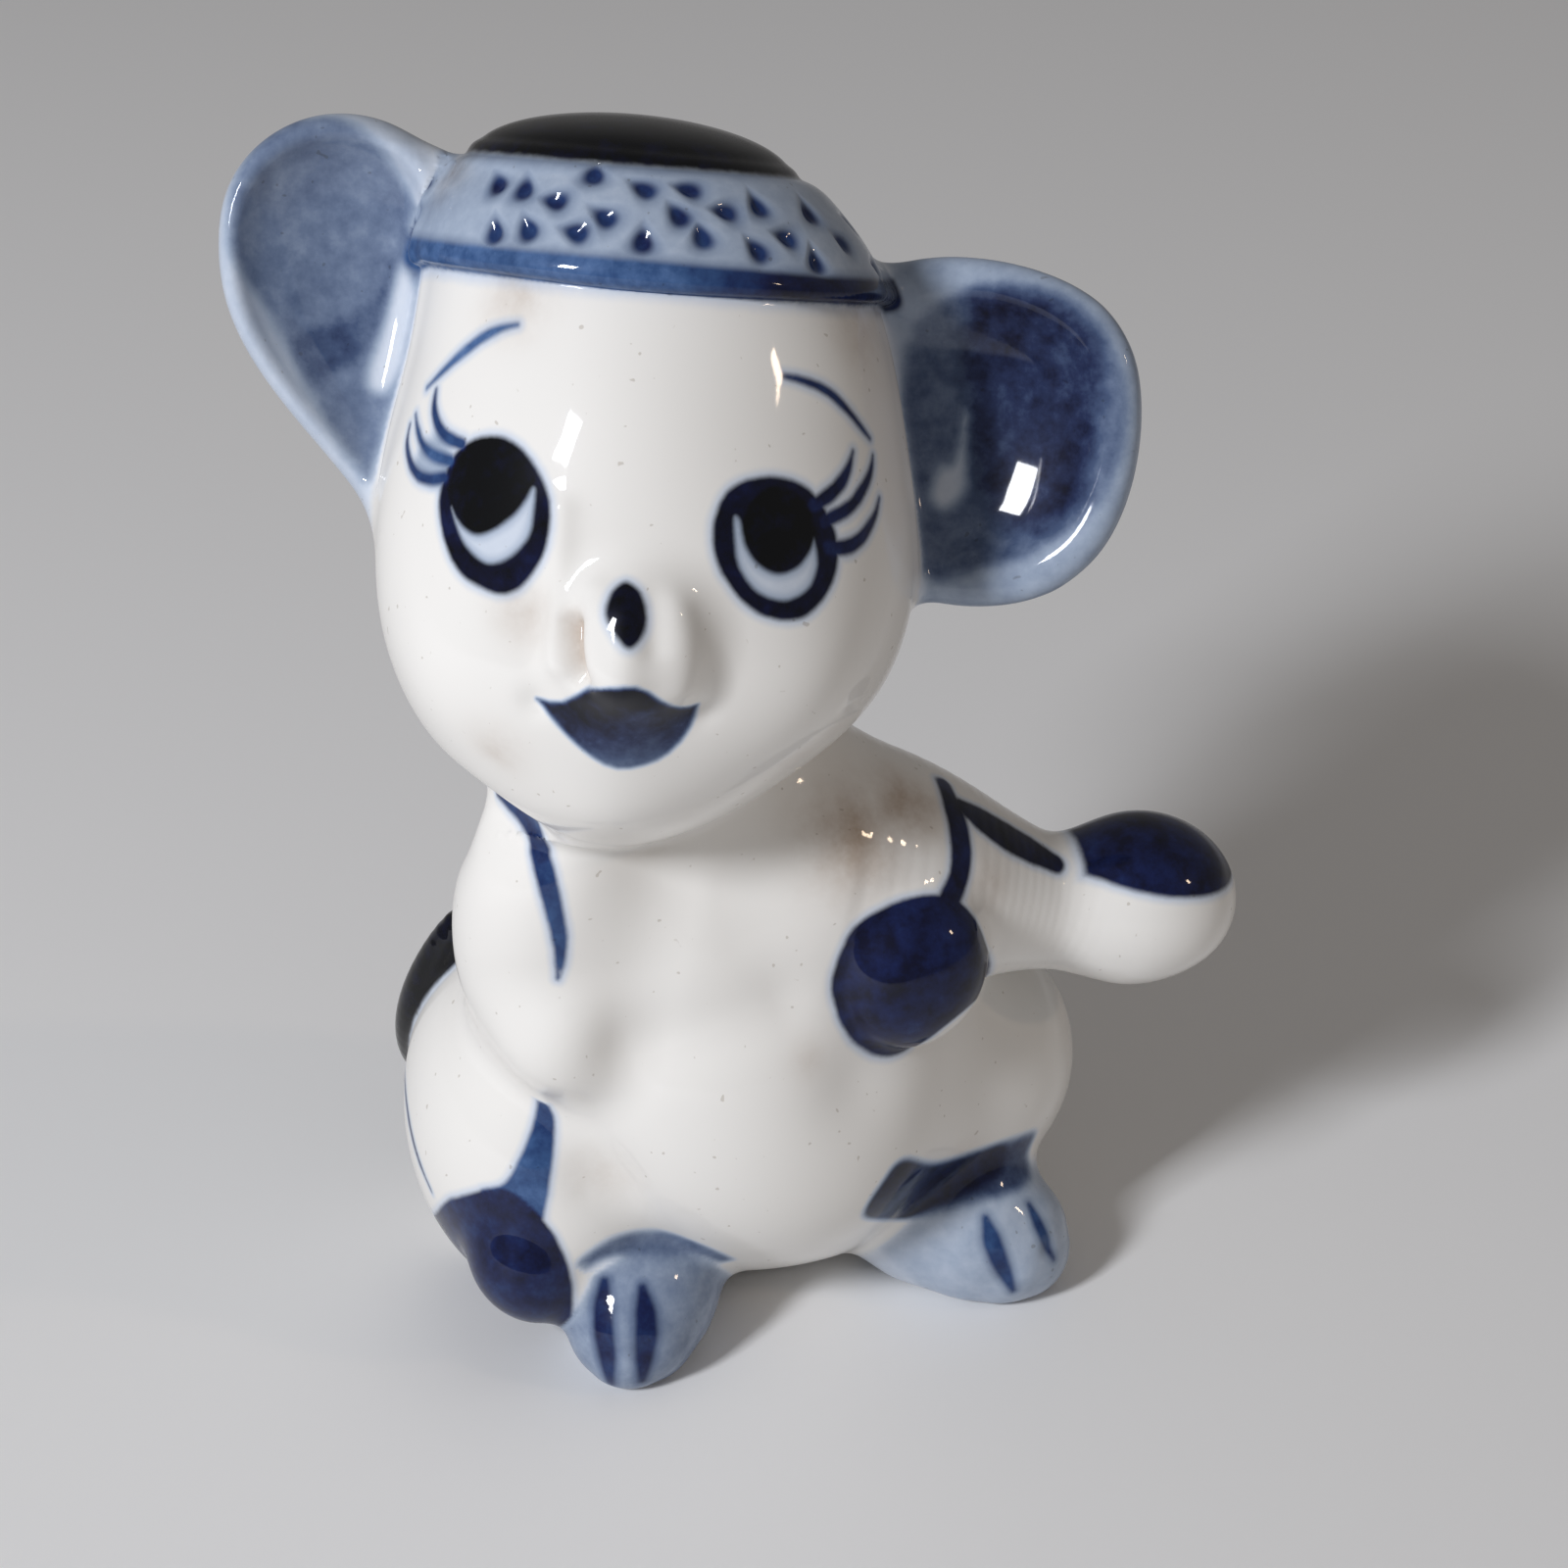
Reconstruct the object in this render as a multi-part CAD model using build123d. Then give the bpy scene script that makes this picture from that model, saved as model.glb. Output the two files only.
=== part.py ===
from build123d import *
import os

# A small sitting mouse in slip-cast porcelain, glazed and painted in cobalt blue.
# Two hollow castings, the torso and the head, carry lumps of clay that are stuck on with slip:
# haunches, feet, arms, hand, ears, muzzle, headband, crown and tail.
# +Z is up, the mouse sits facing -Y, and its own right side is at -X.
# The origin is on the flat seat, in the plane of the surface that it stands on.
# Lengths are in millimetres and angles in degrees.
# Places are shares of the sizes of the piece that carries the lump.

# Clay walls and the hidden openings
wall = 2.0
vent_radius = 1.7
bore_radius = 2.6
vent_place_shares = (-0.08, 0.35, 0)
bore_foot_shares = (-0.38, 0.05, 0.64)

# Torso
torso_half_width = 12.6
torso_front = 11.6
torso_back = 13.0
torso_height = 36.0
torso_lean_share = -0.42
# height, half width, front, back, lean
torso_shares = [
    (0.00, 0.70, 0.20, 0.70, 0.16),
    (0.05, 0.88, 0.40, 0.88, 0.18),
    (0.16, 0.99, 0.77, 1.00, 0.24),
    (0.32, 1.00, 1.00, 1.00, 0.38),
    (0.50, 0.90, 0.94, 0.88, 0.56),
    (0.66, 0.76, 0.80, 0.72, 0.74),
    (0.80, 0.62, 0.66, 0.58, 0.90),
    (1.00, 0.42, 0.44, 0.42, 1.00),
]

# Head, tilted back, turned to the mouse's right and rolled
head_half_width = 11.9
head_front = 11.0
head_back = 11.6
head_above = 17.2
head_below = 13.5
head_place_shares = (-0.575, -0.26, 1.178)
head_turn = -16.0
head_tilt = -23.0
head_roll = 2.0
head_chin_share = -0.16
# height, half width, front, back, lean
head_shares = [
    (-1.00, 0.00, 0.00, 0.00, 1.00),
    (-0.97, 0.20, 0.24, 0.20, 1.00),
    (-0.90, 0.38, 0.46, 0.38, 0.95),
    (-0.76, 0.60, 0.68, 0.62, 0.80),
    (-0.55, 0.83, 0.87, 0.83, 0.45),
    (-0.28, 0.97, 0.97, 0.96, 0.12),
    (0.00, 1.00, 1.00, 1.00, 0.00),
    (0.28, 0.95, 0.96, 1.00, 0.00),
    (0.52, 0.87, 0.88, 0.93, 0.00),
    (0.72, 0.79, 0.80, 0.85, 0.12),
    (0.90, 0.63, 0.64, 0.68, 0.32),
    (0.98, 0.36, 0.36, 0.40, 0.40),
    (1.00, 0.00, 0.00, 0.00, 0.40),
]

# Muzzle, a small bump under the nose
muzzle_length = 5.6
muzzle_radius_shares = (0.48, 0.42, 0.50)
muzzle_place_shares = (-0.02, -0.94, -0.20)

# Headband, a strip of clay round the top of the head
band_thickness = 0.8
band_height = 5.2
band_lift_share = 0.835
band_tilt = 1.5
band_roll = 0.5

# Crown, a low dome with a rolled rim inside the band
crown_radius = 7.5
crown_dome_share = 0.26
crown_rim_share = 0.11
crown_place_shares = (-0.06, 0, 0.985)

# Ears, cups on each side of the head; the right one runs out into a spout at its lower end
right_ear_height = 7.2
right_ear_half_width = 5.6
left_ear_height = 7.8
left_ear_half_width = 7.7
ear_depth = 3.2
ear_drop_share = {"right": 1.72, "left": 1.0}
ear_place_shares = {"right": (-1.11, 0.10, 0.65), "left": (1.19, 0.16, 0.30)}
ear_turn = {"right": 12.0, "left": -14.0}
ear_lean = {"right": -11.0, "left": 8.0}
ear_dish_shares = (0.86, 0.85, 0.84)
ear_dish_step_share = 0.55
# height, half width, front, back, lean
ear_shares = {
    "right": [
        (-1.00, 0.00, 0.00, 0.00, 0.00),
        (-0.97, 0.10, 0.20, 0.20, 0.00),
        (-0.80, 0.28, 0.46, 0.46, 0.00),
        (-0.55, 0.55, 0.74, 0.74, 0.00),
        (-0.28, 0.84, 0.94, 0.94, 0.00),
        (0.00, 1.00, 1.00, 1.00, 0.00),
        (0.40, 0.93, 0.92, 0.92, 0.00),
        (0.72, 0.71, 0.70, 0.70, 0.00),
        (0.93, 0.37, 0.36, 0.36, 0.00),
        (0.985, 0.17, 0.17, 0.17, 0.00),
        (1.00, 0.00, 0.00, 0.00, 0.00),
    ],
    "left": [
        (-1.00, 0.00, 0.00, 0.00, 0.00),
        (-0.985, 0.19, 0.17, 0.17, 0.00),
        (-0.93, 0.41, 0.36, 0.36, 0.00),
        (-0.72, 0.75, 0.70, 0.70, 0.00),
        (-0.40, 0.94, 0.92, 0.92, 0.00),
        (0.00, 1.00, 1.00, 1.00, 0.00),
        (0.40, 0.95, 0.92, 0.92, 0.00),
        (0.72, 0.79, 0.70, 0.70, 0.00),
        (0.93, 0.46, 0.36, 0.36, 0.00),
        (0.985, 0.22, 0.17, 0.17, 0.00),
        (1.00, 0.00, 0.00, 0.00, 0.00),
    ],
}

# Haunches, one on each side of the torso
haunch_length = 20.4
haunch_radius_shares = {"right": (0.37, 0.50, 0.47), "left": (0.36, 0.43, 0.38)}
# torso half width, torso front, haunch length
haunch_place_shares = {"right": (-0.89, 0.20, 0.4412), "left": (0.59, -0.05, 0.4235)}
haunch_turn = {"right": -8.0, "left": 10.0}

# Feet, flat underneath and splayed, each under its haunch
foot_length = 10.8
foot_radius_shares = {"right": (0.37, 0.49, 0.38), "left": (0.41, 0.46, 0.36)}
# haunch length, haunch length, foot length
foot_place_shares = {"right": (0.0926, -0.3525, 0.1667), "left": (0.0371, -0.2161, 0.15)}
foot_turn = {"right": -14.0, "left": 27.0}

# Heel, a bump low on the right haunch
heel_length = 7.9
heel_radius_shares = (0.42, 0.44, 0.50)
heel_place_shares = (-0.1853, -0.3412, -0.1588)
heel_roll = -25.0

# Right arm, which hangs down and ends in a stub on the belly
arm_length = 19.0
arm_radius_shares = (0.26, 0.26, 0.50)
arm_place_shares = (-0.94, -0.24, 0.655)
arm_tilt = 14.0
arm_roll = 2.0
stub_share = 0.15
stub_place_shares = (-0.98, -0.52, 0.525)

# Left arm, held out to the side with a round hand and a round elbow
reach_radius = 6.6
reach_start_shares = (0.02, -0.25, 0.675)
reach_end_shares = (1.24, -0.36, 0.535)
# way along, radius
reach_shares = [(0.00, 1.00), (0.22, 0.90), (0.46, 0.70), (0.70, 0.52), (1.00, 0.45)]
hand_length = 9.4
hand_radius_shares = (0.50, 0.45, 0.43)
hand_place_shares = (1.345, -0.37, 0.562)
hand_roll = 16.0
elbow_length = 8.6
elbow_radius_shares = (0.43, 0.28, 0.50)
elbow_place_shares = (0.30, -0.80, 0.575)
elbow_roll = 35.0

# Tail, a tapering roll of clay from the torso's back, curled round the right haunch
tail_radius = 1.5
tail_root_shares = (-0.25, 0.95, 0.12)
tail_place_shares = [
    (0.0247, 0.4833, -0.2118),
    (-0.2162, 0.3753, -0.0706),
    (-0.2718, 0.2502, 0.1765),
    (-0.1544, 0.1535, 0.5118),
]
# way along, radius
tail_shares = [
    (0.00, 1.00),
    (0.25, 0.96),
    (0.50, 0.90),
    (0.72, 0.82),
    (0.88, 0.70),
    (0.95, 0.50),
    (1.00, 0.00),
]

torso_size = (torso_half_width, torso_front, torso_height)
head_size = (head_half_width, head_front, head_above)
haunch_seat = (torso_half_width, torso_front, haunch_length)
haunch_size = (haunch_length, haunch_length, haunch_length)
foot_seat = (haunch_length, haunch_length, foot_length)
ear_sizes = {
    "right": (right_ear_half_width, right_ear_height),
    "left": (left_ear_half_width, left_ear_height),
}
quarter_turn = 90


def at_shares(shares, sizes):
    """The point at these shares of a piece's sizes."""
    return tuple(share * size for share, size in zip(shares, sizes))


def ring(half_width, front, back):
    """A flat egg-shaped section from four quarter ellipses."""
    arcs = []
    for count, depth in enumerate((back, back, front, front)):
        start = count * quarter_turn
        arc = EllipticalCenterArc((0, 0), half_width, depth, start_angle=start, arc_size=quarter_turn)
        arcs.append(arc)
    return make_face(arcs)


def stacked(rows, half_width, front, back, above, below, lean):
    """A lump lofted through level sections, closed to a point where a section has no width."""
    sections = []
    for height, wide, fore, aft, shift in rows:
        centre = Pos(shift * lean, 0, height * (above if height > 0 else below))
        section = ring(wide * half_width, fore * front, aft * back) if wide else Vertex(0, 0, 0)
        sections.append(centre * section)
    return loft(sections)


def rolled(path, rows, radius):
    """A roll of clay along a path, closed to a point where the radius is nothing."""
    sections = []
    for way, share in rows:
        if share == 0:
            sections.append(Vertex(*(path @ way)))
            continue
        along = path % way
        across = along.cross(Vector(0, 1, 0))
        place = Plane(origin=path @ way, x_dir=across, z_dir=along).location
        sections.append(place * ring(share * radius, share * radius, share * radius))
    return loft(sections)


def lump(length, radius_shares):
    """A rounded lump of clay about its own centre."""
    return scale(Sphere(1), by=tuple(share * length for share in radius_shares))


def torso_form(inset):
    return Pos(0, 0, inset) * stacked(
        torso_shares,
        torso_half_width - inset,
        torso_front - inset,
        torso_back - inset,
        torso_height - 2 * inset,
        0,
        torso_lean_share * torso_half_width,
    )


def head_form(inset):
    return head_frame * stacked(
        head_shares,
        head_half_width - inset,
        head_front - inset,
        head_back - inset,
        head_above - inset,
        head_below - inset,
        head_chin_share * head_half_width,
    )


def ear_form(side):
    half_width, height = ear_sizes[side]
    drop = ear_drop_share[side] * height
    cup = stacked(ear_shares[side], half_width, ear_depth, ear_depth, height, drop, 0)
    dish = Pos(0, -ear_dish_step_share * ear_depth, 0) * scale(cup, by=ear_dish_shares)
    place = Pos(*at_shares(ear_place_shares[side], head_size))
    return head_frame * place * Rot(Z=ear_turn[side]) * Rot(Y=ear_lean[side]) * (cup - dish)


def torso_lump(length, radius_shares, place_shares, turn):
    """A lump placed by shares of the torso."""
    return Pos(*at_shares(place_shares, torso_size)) * turn * lump(length, radius_shares)


def clear_of(piece, neighbours):
    """The piece cut back to the faces of the filled forms that it is stuck to."""
    for neighbour in neighbours:
        piece = piece - neighbour
    return piece


head_frame = (
    Pos(*at_shares(head_place_shares, torso_size))
    * Rot(Z=head_turn)
    * Rot(X=head_tilt)
    * Rot(Y=head_roll)
)
below_floor = Pos(0, 0, -torso_height) * Box(
    4 * torso_height, 4 * torso_height, 2 * torso_height
)

# The two castings, with one hidden bore between them and a vent in the seat
head = head_form(0)
torso = torso_form(0)
torso_cavity = torso_form(wall) - head_form(-wall)
vent = Pos(*at_shares(vent_place_shares, torso_size)) * Cylinder(vent_radius, 4 * wall)
bore_foot = Vector(*at_shares(bore_foot_shares, torso_size))
bore_line = Vector(*at_shares(head_place_shares, torso_size)) - bore_foot
bore = Plane(origin=bore_foot + bore_line / 2, z_dir=bore_line) * Cylinder(
    bore_radius, bore_line.length
)
pieces = {
    "torso_shell": torso - head - torso_cavity - vent - bore,
    "head_shell": head - head_form(wall) - bore,
}

# Haunches, feet and the heel, with the tail round the right haunch
ground = [torso, below_floor]
haunch_at = {}
for side in ("right", "left"):
    haunch_at[side] = Vector(*at_shares(haunch_place_shares[side], haunch_seat))
    haunch = (
        Pos(haunch_at[side])
        * Rot(Z=haunch_turn[side])
        * lump(haunch_length, haunch_radius_shares[side])
    )
    on_floor = Vector(haunch_at[side].X, haunch_at[side].Y, 0)
    foot = (
        Pos(on_floor + Vector(*at_shares(foot_place_shares[side], foot_seat)))
        * Rot(Z=foot_turn[side])
        * lump(foot_length, foot_radius_shares[side])
    )
    pieces[side + "_haunch"] = clear_of(haunch, [torso, below_floor])
    pieces[side + "_foot"] = clear_of(foot, [torso, haunch, below_floor])
    ground += [haunch, foot]
heel = (
    Pos(haunch_at["right"] + Vector(*at_shares(heel_place_shares, haunch_size)))
    * Rot(Y=heel_roll)
    * lump(heel_length, heel_radius_shares)
)
pieces["right_heel"] = clear_of(heel, ground)
tail_points = [Vector(*at_shares(tail_root_shares, torso_size))]
for shares in tail_place_shares:
    tail_points.append(haunch_at["right"] + Vector(*at_shares(shares, haunch_size)))
tail = rolled(Spline(*tail_points), tail_shares, tail_radius)
pieces["tail"] = clear_of(tail, ground)

# Right arm and its stub
arm = torso_lump(
    arm_length, arm_radius_shares, arm_place_shares, Rot(X=arm_tilt) * Rot(Y=arm_roll)
) + Pos(*at_shares(stub_place_shares, torso_size)) * Sphere(stub_share * arm_length)
pieces["right_arm"] = clear_of(arm, [head, *ground])

# Left arm, hand and elbow
reach_path = Line(
    at_shares(reach_start_shares, torso_size), at_shares(reach_end_shares, torso_size)
)
reach = rolled(reach_path, reach_shares, reach_radius)
hand = torso_lump(hand_length, hand_radius_shares, hand_place_shares, Rot(Y=hand_roll))
elbow = torso_lump(elbow_length, elbow_radius_shares, elbow_place_shares, Rot(Y=elbow_roll))
pieces["left_hand"] = hand
pieces["left_arm"] = clear_of(reach, [head, hand, *ground])
pieces["left_elbow"] = clear_of(elbow, [head, reach, *ground])

# Muzzle, headband, crown and ears
muzzle = (
    head_frame
    * Pos(*at_shares(muzzle_place_shares, head_size))
    * lump(muzzle_length, muzzle_radius_shares)
)
pieces["muzzle"] = clear_of(muzzle, [head])
band_slab = (
    head_frame
    * Pos(0, 0, band_lift_share * head_above)
    * Rot(X=band_tilt)
    * Rot(Y=band_roll)
    * Cylinder(2 * head_half_width, band_height)
)
band = head_form(-band_thickness) & band_slab
pieces["head_band"] = clear_of(band, [head])
crown_frame = (
    head_frame * Pos(*at_shares(crown_place_shares, head_size)) * Rot(X=band_tilt) * Rot(Y=band_roll)
)
crown_rim = crown_rim_share * crown_radius
crown_dome = crown_radius - crown_rim
crown = crown_frame * (
    scale(Sphere(1), by=(crown_dome, crown_dome, crown_dome_share * crown_radius))
    + Torus(crown_dome, crown_rim)
)
pieces["crown"] = clear_of(crown, [head, band])
for side in ("right", "left"):
    pieces[side + "_ear"] = clear_of(ear_form(side), [head, band, crown])

os.makedirs("parts", exist_ok=True)
for name, piece in pieces.items():
    export_step(piece, f"parts/{name}.step")
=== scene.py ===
import bpy
import bmesh
import numpy as np
from math import radians, sin, cos
from mathutils import Matrix, Vector


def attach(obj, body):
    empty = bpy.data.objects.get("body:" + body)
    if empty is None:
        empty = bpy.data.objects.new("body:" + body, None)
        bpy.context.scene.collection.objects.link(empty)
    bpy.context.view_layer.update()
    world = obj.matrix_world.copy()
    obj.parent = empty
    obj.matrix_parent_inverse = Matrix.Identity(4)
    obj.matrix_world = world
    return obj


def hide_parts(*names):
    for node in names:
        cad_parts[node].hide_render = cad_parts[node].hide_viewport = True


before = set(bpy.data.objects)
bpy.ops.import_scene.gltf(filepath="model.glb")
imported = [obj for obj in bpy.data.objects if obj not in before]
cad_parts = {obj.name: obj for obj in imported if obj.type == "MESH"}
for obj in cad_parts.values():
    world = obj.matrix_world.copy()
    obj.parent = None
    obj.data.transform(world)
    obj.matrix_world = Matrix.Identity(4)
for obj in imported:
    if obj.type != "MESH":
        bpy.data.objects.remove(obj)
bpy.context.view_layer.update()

# A small seated mouse in slip-cast porcelain, painted in cobalt under a clear glaze.
# The clay forms are laid out as soft overlapping lumps, in millimetres and in the frame of the
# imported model, skinned as one glazed surface, and cut apart again along the luted joints.
mm = 0.001
farAway = 1e3


def turned(x=0.0, y=0.0, z=0.0):
    # rotation about Z, then the turned X, then the turned Y
    spin = Matrix.Rotation(radians(z), 3, "Z") @ Matrix.Rotation(radians(x), 3, "X")
    return np.array(spin @ Matrix.Rotation(radians(y), 3, "Y"))


def smoothTable(heights, values, count=1600):
    h = np.diff(heights)
    n = len(heights)
    system = np.eye(n)
    right = np.zeros(n)
    for i in range(1, n - 1):
        system[i, i - 1:i + 2] = h[i - 1], 2 * (h[i - 1] + h[i]), h[i]
        right[i] = 6 * ((values[i + 1] - values[i]) / h[i] - (values[i] - values[i - 1]) / h[i - 1])
    bend = np.linalg.solve(system, right)
    at = np.linspace(heights[0], heights[-1], count)
    i = np.clip(np.searchsorted(heights, at) - 1, 0, n - 2)
    t = at - heights[i]
    u = h[i] - t
    curve = (bend[i] * u ** 3 + bend[i + 1] * t ** 3) / (6 * h[i])
    curve += (values[i] / h[i] - bend[i] * h[i] / 6) * u
    curve += (values[i + 1] / h[i] - bend[i + 1] * h[i] / 6) * t
    return at, curve


def softMin(a, b, k):
    blend = np.maximum(k - np.abs(a - b), 0) / k
    return np.minimum(a, b) - blend * blend * k * 0.25


def softMax(a, b, k):
    return -softMin(-a, -b, k)


# clay forms: each answers how far a point lies outside it, in mm

def makeBall(centre, radii, turn=None):
    centre, radii = np.array(centre), np.array(radii)
    turn = np.eye(3) if turn is None else turn

    def distance(points):
        local = (points - centre) @ turn / radii
        near = np.sqrt((local ** 2).sum(1)) + 1e-9
        steep = np.sqrt(((local / radii) ** 2).sum(1)) + 1e-9
        return near * (near - 1) / steep

    return {"distance": distance, "centre": centre, "reach": radii.max()}


leanRoom, endSlope = 1.35, 0.3


def makeStack(form, centre=(0, 0, 0), turn=None):
    # egg-shaped level sections: height, half width, front, back, lean, all as shares
    rows = np.array(form["rows"], float)
    halfWidth, front, back = form["halfWidth"], form["front"], form["back"]
    heights = rows[:, 0] * np.where(rows[:, 0] > 0, form["above"], form["below"])
    ratios = 2 * np.log(np.maximum(rows[:, 1:2], 1e-6) / np.maximum(rows[:, 2:4], 1e-6))
    for end, beside in ((0, 1), (-1, -2)):
        if rows[end, 1] == 0:
            ratios[end] = ratios[beside]
    columns = (rows[:, 1] ** 2, ratios[:, 0], ratios[:, 1], rows[:, 4] * form["lean"])
    table = np.stack([smoothTable(heights, column)[1] for column in columns], 1)
    table[:, 1:3] = np.exp(table[:, 1:3])
    pitch = (heights[-1] - heights[0]) / (len(table) - 1)
    table = np.concatenate([table, np.gradient(table, pitch, axis=0)], 1)
    centre = np.array(centre, float)
    turn = np.eye(3) if turn is None else turn

    def distance(points):
        x, y, z = ((points - centre) @ turn).T
        beyond = np.maximum(z - heights[-1], 0) + np.maximum(heights[0] - z, 0)
        place = np.clip((z - heights[0]) / pitch, 0, len(table) - 1.001)
        first = place.astype(int)
        part = (place - first)[:, None]
        row = table[first] * (1 - part) + table[first + 1] * part
        ahead = y < 0
        depth = np.where(ahead, front, back)
        ratio, ratioSlope = np.where(ahead, row[:, 1], row[:, 2]), np.where(ahead, row[:, 5], row[:, 6])
        a, b = (x - row[:, 3]) / halfWidth, y / depth
        value = a * a + b * b * ratio - row[:, 0] + beyond * endSlope
        slopeZ = b * b * ratioSlope - row[:, 4] - 2 * a * row[:, 7] / halfWidth
        slope = (2 * a / halfWidth) ** 2 + (2 * b * ratio / depth) ** 2 + slopeZ ** 2
        return value / (np.sqrt(slope) + 1e-5)

    middle = centre + turn @ np.array([0, 0, (heights[0] + heights[-1]) / 2])
    reach = max(abs(heights[-1] - heights[0]) / 2, halfWidth, front, back) * leanRoom
    return {"distance": distance, "centre": middle, "reach": reach}


def lineGap(points, path, radii):
    # distance to a line of varying half width
    best = np.full(len(points), farAway)
    for start, end, r0, r1 in zip(path[:-1], path[1:], radii[:-1], radii[1:]):
        run = end - start
        along = np.clip((points - start) @ run / max(run @ run, 1e-9), 0, 1)
        gap = np.linalg.norm(points - start - along[:, None] * run, axis=1)
        best = np.minimum(best, gap - (r0 + (r1 - r0) * along))
    return best


def makeRoll(path, radii):
    # a roll of clay along points, with its radius at each
    middle = path.mean(0)
    reach = np.linalg.norm(path - middle, axis=1).max() + radii.max()
    return {"distance": lambda points: lineGap(points, path, radii), "centre": middle, "reach": reach}


def curveThrough(points, count):
    # smooth path through a few points, spaced by chord length
    points = np.array(points, float)
    chords = np.linalg.norm(np.diff(points, axis=0), axis=1)
    at = np.concatenate([[0], np.cumsum(chords)])
    return np.stack([smoothTable(at, column, count)[1] for column in points.T], 1)


torso = {
    "halfWidth": 12.6, "front": 11.6, "back": 13.0, "above": 36.0, "below": 36.0, "lean": -5.292,
    "rows": [
        (0, 0.54, 0.2, 0.7, 0.16), (0.05, 0.64, 0.4, 0.88, 0.18),
        (0.16, 0.72, 0.77, 1, 0.24), (0.32, 0.9, 1, 1, 0.38),
        (0.5, 0.9, 0.94, 0.88, 0.56), (0.66, 0.76, 0.8, 0.72, 0.74),
        (0.8, 0.62, 0.66, 0.58, 0.9), (1, 0.42, 0.44, 0.42, 1),
    ],
    "vent": (-1.0, 4.1, 1.7, 5.0),  # x, y, radius, depth
}
head = {
    "centre": (-7.245, -3.016, 42.408), "tilt": -23.0, "roll": 2.0, "turn": -16.0,
    "halfWidth": 11.9, "front": 11.0, "back": 11.6, "above": 17.2, "below": 13.5, "lean": -1.3,
    "rows": [
        (-1, 0, 0, 0, 1), (-0.97, 0.2, 0.24, 0.2, 1),
        (-0.9, 0.38, 0.46, 0.38, 0.9), (-0.76, 0.6, 0.68, 0.62, 0.65),
        (-0.55, 0.83, 0.87, 0.83, 0.25), (-0.28, 0.97, 0.97, 0.96, 0.05),
        (0, 1, 1, 1, 0), (0.28, 0.95, 0.96, 1, 0),
        (0.52, 0.87, 0.88, 0.93, 0), (0.72, 0.78, 0.8, 0.85, 0.35),
        (0.9, 0.6, 0.62, 0.66, 0.8), (0.98, 0.34, 0.35, 0.39, 0.9),
        (1, 0, 0, 0, 0.9),
    ],
}
headTurn = turned(head["tilt"], head["roll"], head["turn"])
headCentre = np.array(head["centre"])


def fromHead(point):
    return headCentre + headTurn @ np.array(point, float)


def toHead(points):
    return (points - headCentre) @ headTurn


ears = {
    "right": {
        "place": (-13.209, 1.10, 11.18), "turn": 12.0, "lean": -13.5,
        "halfWidth": 5.6, "height": 7.2, "drop": 12.384, "depth": 3.2,
        "dish": {"scale": (0.84, 0.85, 0.9, 0.88), "step": 1.9, "shift": -0.55, "rim": 0.9},
        "rows": [
            (-1, 0, 0), (-0.97, 0.1, 0.2),
            (-0.8, 0.28, 0.46), (-0.55, 0.55, 0.74),
            (-0.28, 0.84, 0.94), (0, 1, 1),
            (0.4, 0.95, 0.94), (0.72, 0.76, 0.74),
            (0.93, 0.41, 0.4), (0.985, 0.19, 0.19),
            (1, 0, 0),
        ],
    },
    "left": {
        "place": (14.161, 1.76, 5.16), "turn": -14.0, "lean": 8.0,
        "halfWidth": 7.7, "height": 7.8, "drop": 7.8, "depth": 3.2,
        "dish": {"scale": (0.84, 0.8, 0.84, 0.84), "step": 1.85, "shift": 0.2, "rim": 2.0},
        "rows": [
            (-1, 0, 0), (-0.985, 0.19, 0.17),
            (-0.93, 0.41, 0.36), (-0.72, 0.75, 0.7),
            (-0.4, 0.94, 0.92), (0, 1, 1),
            (0.4, 0.95, 0.92), (0.72, 0.79, 0.7),
            (0.93, 0.46, 0.36), (0.985, 0.22, 0.17),
            (1, 0, 0),
        ],
    },
}


def makeCup(ear, shares, centre, turn):
    wide, deep, high, low = shares
    return makeStack({
        "rows": [(*row, row[-1], 0) for row in ear["rows"]], "lean": 0,
        "halfWidth": ear["halfWidth"] * wide, "front": ear["depth"] * deep,
        "back": ear["depth"] * deep, "above": ear["height"] * high, "below": ear["drop"] * low,
    }, centre, turn)


def makeEar(ear):
    # a cup with a smaller one taken out of its front
    turn = headTurn @ turned(z=ear["turn"]) @ turned(y=ear["lean"])
    centre = fromHead(ear["place"])
    cup = makeCup(ear, (1, 1, 1, 1), centre, turn)
    hollow = ear["dish"]
    dishCentre = centre + turn @ np.array([hollow["shift"], -hollow["step"], 0])
    dish = makeCup(ear, hollow["scale"], dishCentre, turn)

    def distance(points):
        return softMax(cup["distance"](points), -dish["distance"](points), hollow["rim"])

    return dict(cup, distance=distance)


band = {
    "thickness": 0.8, "height": 5.0, "lift": 13.95, "tilt": 1.5, "roll": 3.4, "edge": 0.7,
    "reach": 14.0,
}
bandTurn = headTurn @ turned(band["tilt"], band["roll"])
bandCentre = fromHead((0, 0, band["lift"]))
crown = {
    "place": (-0.95, 0.0, 16.42), "dome": (6.9, 6.9, 2.2), "ring": 6.72, "rim": 0.45, "soft": 0.3,
    "reach": 8.0,
}


def makeBand(headForm):
    def distance(points):
        local = (points - bandCentre) @ bandTurn
        slab = np.abs(local[:, 2]) - band["height"] / 2
        return softMax(headForm["distance"](points) - band["thickness"], slab, band["edge"])

    return {"distance": distance, "centre": bandCentre, "reach": band["reach"]}


def makeCrown():
    centre = fromHead(crown["place"])
    dome = makeBall(centre, crown["dome"], bandTurn)

    def distance(points):
        local = (points - centre) @ bandTurn
        ring = np.hypot(local[:, 0], local[:, 1]) - crown["ring"]
        rim = np.hypot(ring, local[:, 2]) - crown["rim"]
        return softMin(dome["distance"](points), rim, crown["soft"])

    return {"distance": distance, "centre": centre, "reach": crown["reach"]}


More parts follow.
